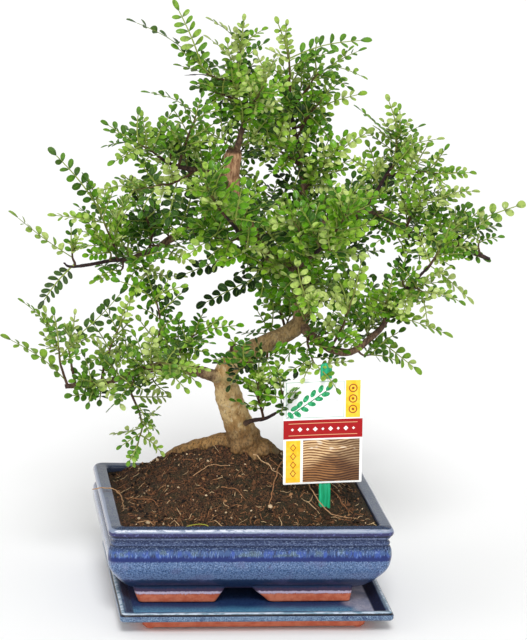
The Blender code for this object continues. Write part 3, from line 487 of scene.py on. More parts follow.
pot = body.set_down("pot_clay", pot_glaze)
joined(pot, feet.set_down("feet", pot_glaze), 'UNION')
drain_holes = Shape()
for hole_x in (-48.0, 48.0):
    drain_holes.add(*skin([round_ring(hole_x, 0.0, HOLE_RADIUS, level, 40) for level in (20.0, 36.0)]))
joined(pot, drain_holes.set_down("drain_holes", pot_glaze), 'DIFFERENCE')
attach(pot, "root")
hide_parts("pot")


# Drain meshes: two squares cut from moulded green plastic net, laid over the holes to keep the soil
# in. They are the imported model's own nodes, and only their finish is new: dull plastic with dust of
# peat on it.
net = Finish("green_net", Specular_IOR_Level=0.4)
dust = net.grain(1.8, detail=4.0).rise(0.45, 0.7)
net.coat(net.mix((16, 128, 82), (72, 52, 34), dust * 0.7), 0.45 + 0.4 * dust, net.grain(0.5) * 0.1)
for name in ("drain_mesh_1", "drain_mesh_2"):
    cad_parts[name].material_slots[0].material = net.material


# Soil: dark fibrous peat pressed round the root ball. It is a mound under the trunk that banks up
# against the surface roots, with loose crumbs, fibres and pale grit on it, and a few dry rootlets,
# one of them over the rim.
SOIL_EDGE = 74.5
SOIL_HALF = (98.9, 70.15)
MOUND_AT = (9.0, 28.0)
MOUND_RISE = 41.0
# How far the mound runs out to the left, right, front and back
MOUND_REACH = (95.0, 75.0, 98.0, 52.0)
STICK_HOLE = (61, -36)
CRUMBS, FIBRES = 1900, 760
# Surface roots: radius where each leaves the wood, radius at its tip, route
ROOTS = {"root_left": (8, 4, [(4, 26, 113), (-8, 32, 113), (-21, 40, 108), (-36, 48, 101), (-54, 57, 89),
                              (-66, 60, 79), (-72, 61, 65)]),
         "root_right": (8, 3.6, [(13, 24, 110), (20, 20, 113), (28, 18, 107), (35, 15, 98), (42, 10, 88)])}


def tapered(first, last, route):
    """Rows of (x, y, z, radius) along a route."""
    return np.column_stack([np.array(route, float), np.linspace(first, last, len(route))])


def from_wall(x, y):
    """How far a place on the soil is from the pot's inner wall."""
    return np.minimum(POT_HALF[0] - np.abs(x), POT_HALF[1] - np.abs(y)) - POT_WALL


def soil_height(x, y):
    """Height of the packed soil, before its crumbs, over arrays of places."""
    dx, dy = x - MOUND_AT[0], y - MOUND_AT[1]
    left, right, front, back = MOUND_REACH
    away = np.hypot(dx / np.where(dx < 0, left, right), dy / np.where(dy < 0, front, back))
    height = SOIL_EDGE + MOUND_RISE * np.clip(1 - away, 0, None)
    for root in ROOTS.values():
        rows = tapered(*root)
        for a, b in zip(rows, rows[1:]):
            reach = (b - a)[:2]
            share = np.clip(((x - a[0]) * reach[0] + (y - a[1]) * reach[1]) / reach.dot(reach), 0, 1)
            beside = np.hypot(x - a[0] - reach[0] * share, y - a[1] - reach[1] * share)
            bank = a[2] + (b[2] - a[2]) * share - 0.25 * a[3] - 0.5 * np.clip(beside - a[3], 0, None)
            height = np.maximum(height, bank)
    to_right = np.clip((x - 40) / 45, 0, 1)
    return np.minimum(np.maximum(height, SOIL_EDGE + 3.0 * to_right),
                      SOIL_EDGE + 2.6 * to_right + 1.2 * np.clip(from_wall(x, y), 0, None))


def soil_top(x, y):
    """Height of the finished soil, with its lumps and the hollow that the label's stick made."""
    rough = np.array([2.2 * noise.noise(Vector((a, b, 0)) / 11) + 1.5 * noise.noise(Vector((a, b, 9)) / 4.5)
                      + 0.9 * noise.noise(Vector((a, b, 20)) / 1.9) for a, b in zip(x, y)])
    hollow = 5.0 * np.exp(-((x - STICK_HOLE[0]) / 10) ** 2 - ((y - STICK_HOLE[1]) / 10) ** 2)
    return soil_height(x, y) + rough * np.clip(0.35 + from_wall(x, y) / 8, 0, 1) - hollow


edge = outline(*SOIL_HALF, 4.3, SOIL_EDGE)
soil_rows = [(87.7, 58.95, 3, 31.4), (93.7, 64.95, 3, 36.3), (98.2, 69.45, 4, 50.3)]
rings = [outline(*row) for row in to_middle(soil_rows[0])[::-1] + soil_rows]
middle = np.array((*MOUND_AT, 0.0))
for share in np.linspace(1.0, 0.01, 92) ** 1.15:
    ring = middle + (edge - middle) * share
    ring[:, 2] = soil_top(ring[:, 0], ring[:, 1])
    rings.append(ring)
mound = Shape()
mound.add(*skin(rings))

peat = Finish("peat", Specular_IOR_Level=0.3)
x, y, z = peat.axes()
crumb = peat.grain(1.3, detail=4.0, rough=0.7)
patch = peat.grain(9.0, detail=3.0, shift=31.0)
# The right side stays damp and mossy
damp = (x - y + patch * 60.0).rise(60.0, 120.0)
peat.coat(
    peat.layers(crumb.fade((14, 10, 7), (108, 76, 50), 0.41, 0.63),
                ((142, 90, 58), peat.grain(1.8, (1, 3, 1), detail=3.0, shift=8.0).rise(0.57, 0.68) * 0.8),
                ((44, 44, 28), patch.rise(0.45, 0.62) * 0.6), ((30, 34, 20), damp * 0.5),
                ((198, 162, 122), peat.cells(1.5).rise(0.17, 0.09) * patch.rise(0.4, 0.6) * 0.8)),
    0.75 + crumb * 0.25, crumb * 1.5 + peat.grain(0.5, shift=60.0) * 0.6)
soil = mound.set_down("soil_mound", peat, crease=180)
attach(soil, "root")
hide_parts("soil")


def flowing(points, step):
    """Smooth curve through rows of numbers, with a row about every step millimetres."""
    points = np.asarray(points, float)
    padded = np.vstack([2 * points[0] - points[1], points, 2 * points[-1] - points[-2]])
    rows = []
    for before, a, b, after in zip(padded, padded[1:], padded[2:], padded[3:]):
        count = max(1, round(np.linalg.norm((b - a)[:3]) / step))
        for t in np.arange(count) / count:
            rows.append(0.5 * (2 * a + (b - before) * t + (2 * before - 5 * a + 4 * b - after) * t ** 2
                               + (3 * a - before - 3 * b + after) * t ** 3))
    return np.array(rows + [points[-1]])


def tube(rows, sides, side=(0.0, 0.0, 1.0), flatness=1.0):
    """Closed tube along rows of (x, y, z, radius); a flattened one is wide along side."""
    heading = np.gradient(rows[:, :3], axis=0)
    heading /= np.linalg.norm(heading, axis=1)[:, None]
    side = np.array(side, float)
    if abs(side.dot(heading[0])) > 0.95 * np.linalg.norm(side):
        side = np.array((0.3, 0.9, 0.3))
    angles = np.linspace(0, math.tau, sides, endpoint=False)
    rings = []
    for row, ahead in zip(rows, heading):
        side = side - ahead * side.dot(ahead)
        side /= np.linalg.norm(side)
        ring = np.outer(np.cos(angles), side) + np.outer(np.sin(angles) * flatness, np.cross(ahead, side))
        rings.append(row[:3] + row[3] * ring)
    return skin(rings)


def swayed(points, size):
    """A smooth random push for each point, which changes over about size millimetres."""
    return np.array([noise.noise_vector(Vector(p[:3]) / size) for p in points])


def on_soil(chance, count, half_x=95.9, half_y=67.1):
    """Random places on the soil, clear of the pot's wall."""
    x = chance.uniform(-half_x, half_x, count)
    y = chance.uniform(-half_y, half_y, count)
    return np.column_stack([x, y, soil_top(x, y)])


grain_mesh = bmesh.new()
bmesh.ops.create_icosphere(grain_mesh, subdivisions=1, radius=1.0)
ball = np.array([vert.co for vert in grain_mesh.verts])
ball_faces = [tuple(v.index for v in face.verts) for face in grain_mesh.faces]
grain_mesh.free()
chance = np.random.default_rng(11)
crumbs = Shape()
for place in on_soil(chance, CRUMBS):
    size = chance.uniform(0.4, 1.0) if chance.random() < 0.85 else chance.uniform(1.0, 2.2)
    squash = chance.uniform(0.45, 1.2, 3)
    lumpy = ball * (1 + chance.uniform(-0.3, 0.3, (len(ball), 1))) * squash * size
    spin = np.linalg.qr(chance.normal(size=(3, 3)))[0]
    spin[:, 0] *= np.sign(np.linalg.det(spin))
    crumbs.add(place + lumpy @ spin.T + (0, 0, 0.25 * size), ball_faces, tone=chance.random())

crumb_finish = Finish("peat_crumbs", Specular_IOR_Level=0.3)
tone = crumb_finish.read("tone")
fine = crumb_finish.grain(0.7, detail=3.0)
crumb_finish.coat(
    crumb_finish.layers(tone.fade((24, 15, 10), (110, 74, 48), 0.15, 0.84),
                        ((168, 124, 84), tone.rise(0.84, 0.9)), ((216, 190, 154), tone.rise(0.95, 0.96)),
                        ((18, 11, 8), fine.rise(0.5, 0.7) * 0.5)),
    0.75 + 0.2 * fine, fine * 0.3)
soil_crumbs = crumbs.set_down("soil_crumbs", crumb_finish, crease=35)
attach(soil_crumbs, "root")

fibres = Shape()
for place in on_soil(chance, FIBRES):
    length = chance.uniform(2.0, 6.0) if chance.random() < 0.8 else chance.uniform(6.0, 14.0)
    turn = chance.uniform(0, math.tau)
    aim = np.array((math.cos(turn), math.sin(turn), 0.0))
    bend = np.array((-aim[1], aim[0], 0.0)) * chance.normal(0, 0.12) * length
    route = np.array([place + aim * length * (t - 0.5) + bend * (1 - (2 * t - 1) ** 2)
                      for t in np.linspace(0, 1, 5)])
    if not ((np.abs(route[:, 0]) < 98) & (np.abs(route[:, 1]) < 69.4)).all():
        continue
    lift = chance.uniform(0.0, 0.5)
    lift += abs(chance.normal(0, 0.5)) * np.array((0, 0.5, 1, 1.2, chance.uniform(0, 3)))
    route[:, 2] = soil_top(route[:, 0], route[:, 1]) + lift
    radius = chance.uniform(0.12, 0.34)
    rows = flowing(np.column_stack([route, radius * np.array((0.5, 1, 0.9, 0.8, 0.4))]), 1.6)
    fibres.add(*tube(rows, 5), tone=chance.random())
# Dry rootlets that lie on the soil: radius, paleness and route, each height above the soil
ROOTLETS = [(0.45, 0.8, [(-115, 11.6, 5.5), (-104, 12.5, 6.4), (-96, 8, 4), (-93, -5, 2), (-94, -28, 0)]),
            (0.5, 0.75, [(34, 4, 3), (27, -12, 4.5), (21, -30, 3.5), (16, -47, 0.6)]),
            (0.5, 0.8, [(48, -2, 2), (53, -22, 4), (62, -38, 2.2), (74, -46, 1), (90, -56, 0.5)]),
            (0.4, 0.95, [(-46, 58, 0.6), (-33, 55, 2.4), (-21, 55, 2.2), (-10, 51, 0.5)]),
            (0.4, 0.8, [(-38, 2, 0.5), (-24, 6, 2.6), (-10, 2, 1)]),
            (0.45, 0.85, [(10, 8, 4), (20, -4, 3.2), (33, -14, 0.5)]),
            (0.4, 0.7, [(-92, 6, 0.5), (-80, -2, 1.8), (-71, -10, 1.2), (-66, -22, 0.4)]),
            (0.4, 0.8, [(-86, -52, 0.5), (-79, -55, 3.4), (-72, -62, 1.2)]),
            (0.4, 0.85, [(-60, -54, 0.5), (-58, -59, 5.0), (-55, -64, 2.0)]),
            (0.42, 1.3, [(-53, -66.5, 0.6), (-46, -61.5, 1.6), (-38, -59.5, 1.8), (-33, -61.5, 1.6),
                         (-29, -66.5, 0.5)]),
            (0.5, 0.5, [(62, -5, 0.5), (72, -12, 2.8), (79, -24, 1.6), (84, -38, 0.4)]),
            (0.35, 0.7, [(-18, -20, 0.4), (-8, -26, 2.4), (0, -38, 0.6)])]
OVER_RIM = 80.4
for radius, tone, route in ROOTLETS:
    line = flowing(route, 1.5)
    line[:, 2] += soil_height(np.clip(line[:, 0], -98, 98), line[:, 1])
    outside = np.abs(line[:, 0]) > 97.0
    line[outside, 2] = np.maximum(line[outside, 2], OVER_RIM)
    wander = swayed(line, 5.0) * 1.1
    thick = radius * (1 + 0.25 * wander[:, :1]) * np.linspace(1.0, 0.6, len(line))[:, None]
    fibres.add(*tube(np.hstack([line + wander, thick]), 7), tone=tone)

fibre_finish = Finish("dry_fibres", Specular_IOR_Level=0.35)
tone = fibre_finish.read("tone")
strand = fibre_finish.grain(1.0, detail=3.0)
fibre_finish.coat(
    fibre_finish.layers(tone.fade((70, 36, 24), (160, 110, 72), 0.1, 0.7),
                        ((214, 182, 138), tone.rise(0.72, 0.92)), ((176, 178, 66), tone.rise(1.05, 1.2)),
                        ((60, 38, 22), strand.rise(0.5, 0.75) * 0.6)),
    0.6 + 0.3 * strand, strand * 0.2)
soil_fibres = fibres.set_down("soil_fibres", fibre_finish, crease=60)
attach(soil_fibres, "root")


# Trunk: the tree's wood, grown as one piece, with a flared foot and surface roots, a trunk that bends
# right and back left to a sawn top, and its limbs. Bark is tan and mottled below, darker on the twigs.
TRUNK = [((13, 27, 88), 16.5), ((11, 27, 100), 15.5), ((9, 26, 111), 14), ((3, 24, 124), 12),
         ((-3, 21, 137), 11.1), ((-9, 17, 153), 10.4), ((-13.5, 14, 167), 9.7), ((-13.5, 11, 179), 9.2),
         ((-6, 8, 189), 8.9), ((7, 4, 198), 7.8), ((23, 1, 207), 7.0), ((35, 0, 215), 6.6),
         ((41, 0, 225), 6.4), ((41, 1, 238), 6.2), ((35, 3, 254), 6.2), ((22, 5, 268), 6.1),
         ((7, 6, 283), 6.1), ((-7, 6, 299), 6.1), ((-16, 5, 317), 6.2), ((-18, 4, 333), 6.2),
         ((-18, 3, 345), 6.3), ((-17, 3, 356), 6.4)]
# Limbs: radius where each leaves the wood, radius at its tip, route
LIMBS = {
    "left_low": (5.2, 2.0, [(-15, 10, 171), (-31, 4, 178), (-45, -2, 183), (-59, -8, 187), (-80, -16, 187),
        (-97, -20, 181), (-117, -25, 179), (-143, -30, 177)]),
    "left_mid": (4.2, 0.9, [(-10, 4, 306), (-28, 8, 301), (-45, 12, 294), (-61, 12, 284), (-76, 9, 275),
        (-90, 6, 270), (-106, 3, 268), (-137, -3, 264), (-145, -5, 268)]),
    "left_top": (3.4, 1.3, [(-18, 4, 329), (-33, -4, 338), (-48, -12, 343), (-64, -20, 348),
        (-77, -26, 355)]),
    "riser": (4.6, 1.2, [(42, 2, 236), (46, 8, 253), (47, 14, 272), (45, 19, 292), (42, 22, 314),
        (39, 24, 336), (35, 25, 357), (30, 25, 378), (27, 24, 398)]),
    "right_mid": (2.6, 1.7, [(46, 16, 283), (57, 14, 298), (72, 8, 306), (89, 2, 311), (103, -3, 306),
        (116, -7, 297), (131, -10, 291), (148, -12, 288), (165, -14, 285), (184, -16, 278)]),
    "right_top": (2.1, 1.2, [(82, 5, 309), (93, 7, 321), (102, 8, 336), (110, 7, 350)]),
    "right_low": (4.2, 1.1, [(40, 0, 222), (49, -8, 213), (62, -16, 205), (77, -22, 204), (90, -24, 214),
        (101, -25, 227), (110, -26, 244), (120, -27, 260), (133, -28, 274)]),
    "apex": (2.8, 1.1, [(-16, 3, 352), (-13, 1, 368), (-10, -1, 385), (-12, -2, 402), (-19, -3, 417)]),
    "apex_dead": (1.0, 0.6, [(-15, -2, 408), (-30, 4, 410), (-44, 6, 413), (-58, 6, 412)]),
    "front_left": (3.0, 1.1, [(8, 4, 281), (-2, -14, 288), (-12, -34, 296), (-22, -54, 309),
        (-31, -68, 321)]),
    "front_right": (3.1, 1.2, [(30, 4, 261), (33, -14, 268), (37, -34, 280), (42, -56, 293),
        (47, -74, 306)]),
    "back_left": (3.2, 1.1, [(-15, 8, 316), (-18, 28, 318), (-25, 50, 319), (-31, 72, 322),
        (-35, 90, 328)]),
    "back_right": (2.9, 1.1, [(47, 16, 275), (58, 38, 278), (71, 60, 283), (85, 82, 289), (97, 98, 299)]),
    "back_top": (1.9, 1.0, [(38, 26, 341), (32, 44, 350), (27, 62, 359), (22, 76, 369)]),
    "bend_stub": (3.0, 2.2, [(-7, 8, 186), (-10, 7, 195), (-10, 7, 202)]),
    "low_twig": (2.2, 0.9, [(2, 14, 134), (10, 2, 141), (16, -4, 144), (25, -10, 151), (34, -16, 158)]),
    "low_back": (3.0, 1.1, [(10, 6, 197), (20, 26, 199), (36, 48, 203), (52, 68, 208), (67, 84, 214)]),
}
# Burrs and root swellings that stand out of the foot and the bends: centre and radius
BURRS = [((18, 10, 113), 6.5), ((26, 15, 108), 6.0), ((12, 12, 108), 6.5), ((-2, 16, 112), 6.0),
         ((22, 12, 103), 5.5), ((4, 14, 103), 6.0), ((-14, 6, 172), 5.0), ((-9, 3, 190), 4.5),
         ((36, -4, 214), 4.0), ((43, 4, 236), 4.6), ((-10, 2, 304), 4.0), ((-19, 0, 331), 4.0),
         ((40, -1, 222), 4.6)]
# The trunk and the two surface roots come first, and are the thick ones
THICK_ONES = 3
BARK_VOXEL = 0.85
wood = Shape()
grown = [(np.array([(*point, radius) for point, radius in TRUNK]), 12.0)]
grown += [(tapered(*limb), limb[0]) for limb in (*ROOTS.values(), *LIMBS.values())]
axes = []
for number, (rows, first) in enumerate(grown):
    rows = flowing(rows, 1.5)
    run = np.cumsum(np.r_[0, np.linalg.norm(np.diff(rows[:, :3], axis=0), axis=1)])
    sway = np.array([noise.noise_vector(Vector((s / 14, number * 3.7, 0))) for s in run])
    knots = np.array([noise.noise(Vector((s / 5, number * 5.1, 4))) for s in run])
    near_end = np.clip(np.minimum(run, run[-1] - run) / 6, 0, 1)
    rows[:, :3] += sway * (0.12 * first + 0.25 if number else 0.7) * near_end[:, None]
    collar = 1 + 0.45 * np.exp(-run / (0.9 * first)) if number >= THICK_ONES else 1.0
    rows[:, 3] *= (1 + 0.13 * knots) * collar
    axes.append(rows)
    wood.add(*tube(rows, 24 if number < THICK_ONES else 14))
for centre, radius in BURRS:
    wood.add(np.array(centre) + ball * radius * (1 + 0.15 * ball[:, 2:3]), ball_faces)

# One bark over all of it: the tubes are fused by a fine voxel skin, smoothed, and given relief
bark = Finish("bark", Specular_IOR_Level=0.3)
trunk = wood.set_down("tree_wood", bark)
skin_step = trunk.modifiers.new("fused", 'REMESH')
skin_step.mode = 'VOXEL'
skin_step.voxel_size = BARK_VOXEL * MM
ease_step = trunk.modifiers.new("eased", 'SMOOTH')
ease_step.factor = 0.5
ease_step.iterations = 4
trunk_mesh = applied(trunk)
tree_rows = np.vstack([rows[::2] for rows in axes])
tree_heading = np.vstack([np.gradient(rows[:, :3], axis=0)[::2] for rows in axes])
nearest = KDTree(len(tree_rows))
for i, row in enumerate(tree_rows):
    nearest.insert(row[:3], i)
nearest.balance()
spots, normals = (np.empty(len(trunk_mesh.vertices) * 3) for _ in range(2))
trunk_mesh.vertices.foreach_get("co", spots)
trunk_mesh.vertex_normals.foreach_get("vector", normals)
spots = (spots.reshape(-1, 3) - np.array(POT_STANDS_AT)) / MM
normals = normals.reshape(-1, 3)
girth = np.empty(len(spots))
for i, spot in enumerate(spots):
    index = min(nearest.find_n(spot, 24), key=lambda found: found[2] - tree_rows[found[1], 3])[1]
    girth[i] = tree_rows[index, 3]
    # Bark furrows run along the wood: noise is drawn out along the limb's own heading
    along = Vector(tree_heading[index]).normalized()
    place = Vector(spot)
    lengthwise = place - along * (place.dot(along) * 0.72)
    relief = (0.55 * noise.noise(place / 9.0) + 0.42 * noise.noise(lengthwise / 2.6)
              + 0.16 * noise.noise(place / 1.3))
    spots[i] += normals[i] * relief * min(1.0, 0.12 + girth[i] / 9.0)
trunk_mesh.vertices.foreach_set("co", (spots * MM + np.array(POT_STANDS_AT)).ravel())
layer = trunk_mesh.attributes.new("girth", 'FLOAT', 'POINT')
layer.data.foreach_set("value", girth.astype(np.float32))
trunk_mesh.shade_smooth()
trunk_mesh.update()

x, y, z = bark.axes()
width = bark.read("girth")
mottle = bark.grain(6.5, (1, 1, 1.6), detail=4.0, rough=0.6)
flecks = bark.grain(1.5, (1, 1, 2.2), detail=3.0, rough=0.7)
stripe = bark.grain(1.6, (1, 1, 6), detail=3.0, rough=0.7, shift=12.0)
# Earth clings to the trunk's foot; its right side is painted darker, as in shade
foot = bark.layers(x.fade((146, 106, 56), (124, 90, 52), -20.0, -2.0),
                   ((66, 48, 28), (x + mottle * 10.0).rise(26.0, 34.0)),
                   ((70, 48, 28), flecks.rise(0.42, 0.62)))
old = bark.layers(
    mottle.fade((176, 138, 86), (222, 192, 138), 0.38, 0.64),
    ((112, 84, 50), flecks.rise(0.5, 0.68) * 0.62),
    ((214, 194, 156), bark.grain(3.2, detail=3.0, shift=21.0).rise(0.57, 0.68) * 0.75),
    ((112, 108, 62), bark.grain(10.0, detail=3.0, shift=50.0).rise(0.55, 0.72) * 0.45),
    (foot, (z + mottle * 16.0).rise(150.0, 128.0) * 0.85),
    # Painted shade: from the bend up the bark is darker, as in shade under the crown
    (flecks.fade((126, 104, 66), (78, 62, 42), 0.42, 0.62), (z + mottle * 14.0).rise(194.0, 212.0) * 0.8),
    (stripe.fade((194, 152, 116), (122, 80, 54), 0.4, 0.62), z.rise(300.0, 322.0) * 0.92))
limb = bark.mix(flecks.fade((126, 100, 76), (78, 60, 48), 0.4, 0.62), (154, 130, 104),
                mottle.rise(0.56, 0.68) * 0.6)
sawn_top = (z + mottle * 2.0).rise(354.5, 356.5) * width.rise(5.0, 5.8)
bark.coat(bark.layers(flecks.fade((58, 40, 40), (38, 28, 32), 0.4, 0.6),
                      (limb, (width + mottle).rise(2.0, 3.6)),
                      (old, (width + mottle * 2.0).rise(5.4, 7.4)),
                      ((58, 40, 30), sawn_top * 0.8)),
          0.68 + 0.3 * flecks, flecks * 0.55 + bark.grain(0.6, (1, 1, 1.8)) * 0.25)
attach(trunk, "root")
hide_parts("trunk")


# Leafy shoots: side shoots with their compound leaves, each a thin winged stalk with pairs of small
# glossy leaflets and one at its end. Old leaves are dark green and broad, young ones yellow-green
# and narrow.
UP = np.array((0.0, 0.0, 1.0))
FRONT = np.array((-0.15, -0.99, 0.0))
GOLDEN_TURN = math.radians(137.5)
FARTHEST_FRONT, FARTHEST_BACK = -96.0, 119.0
STALK_ROWS = 9
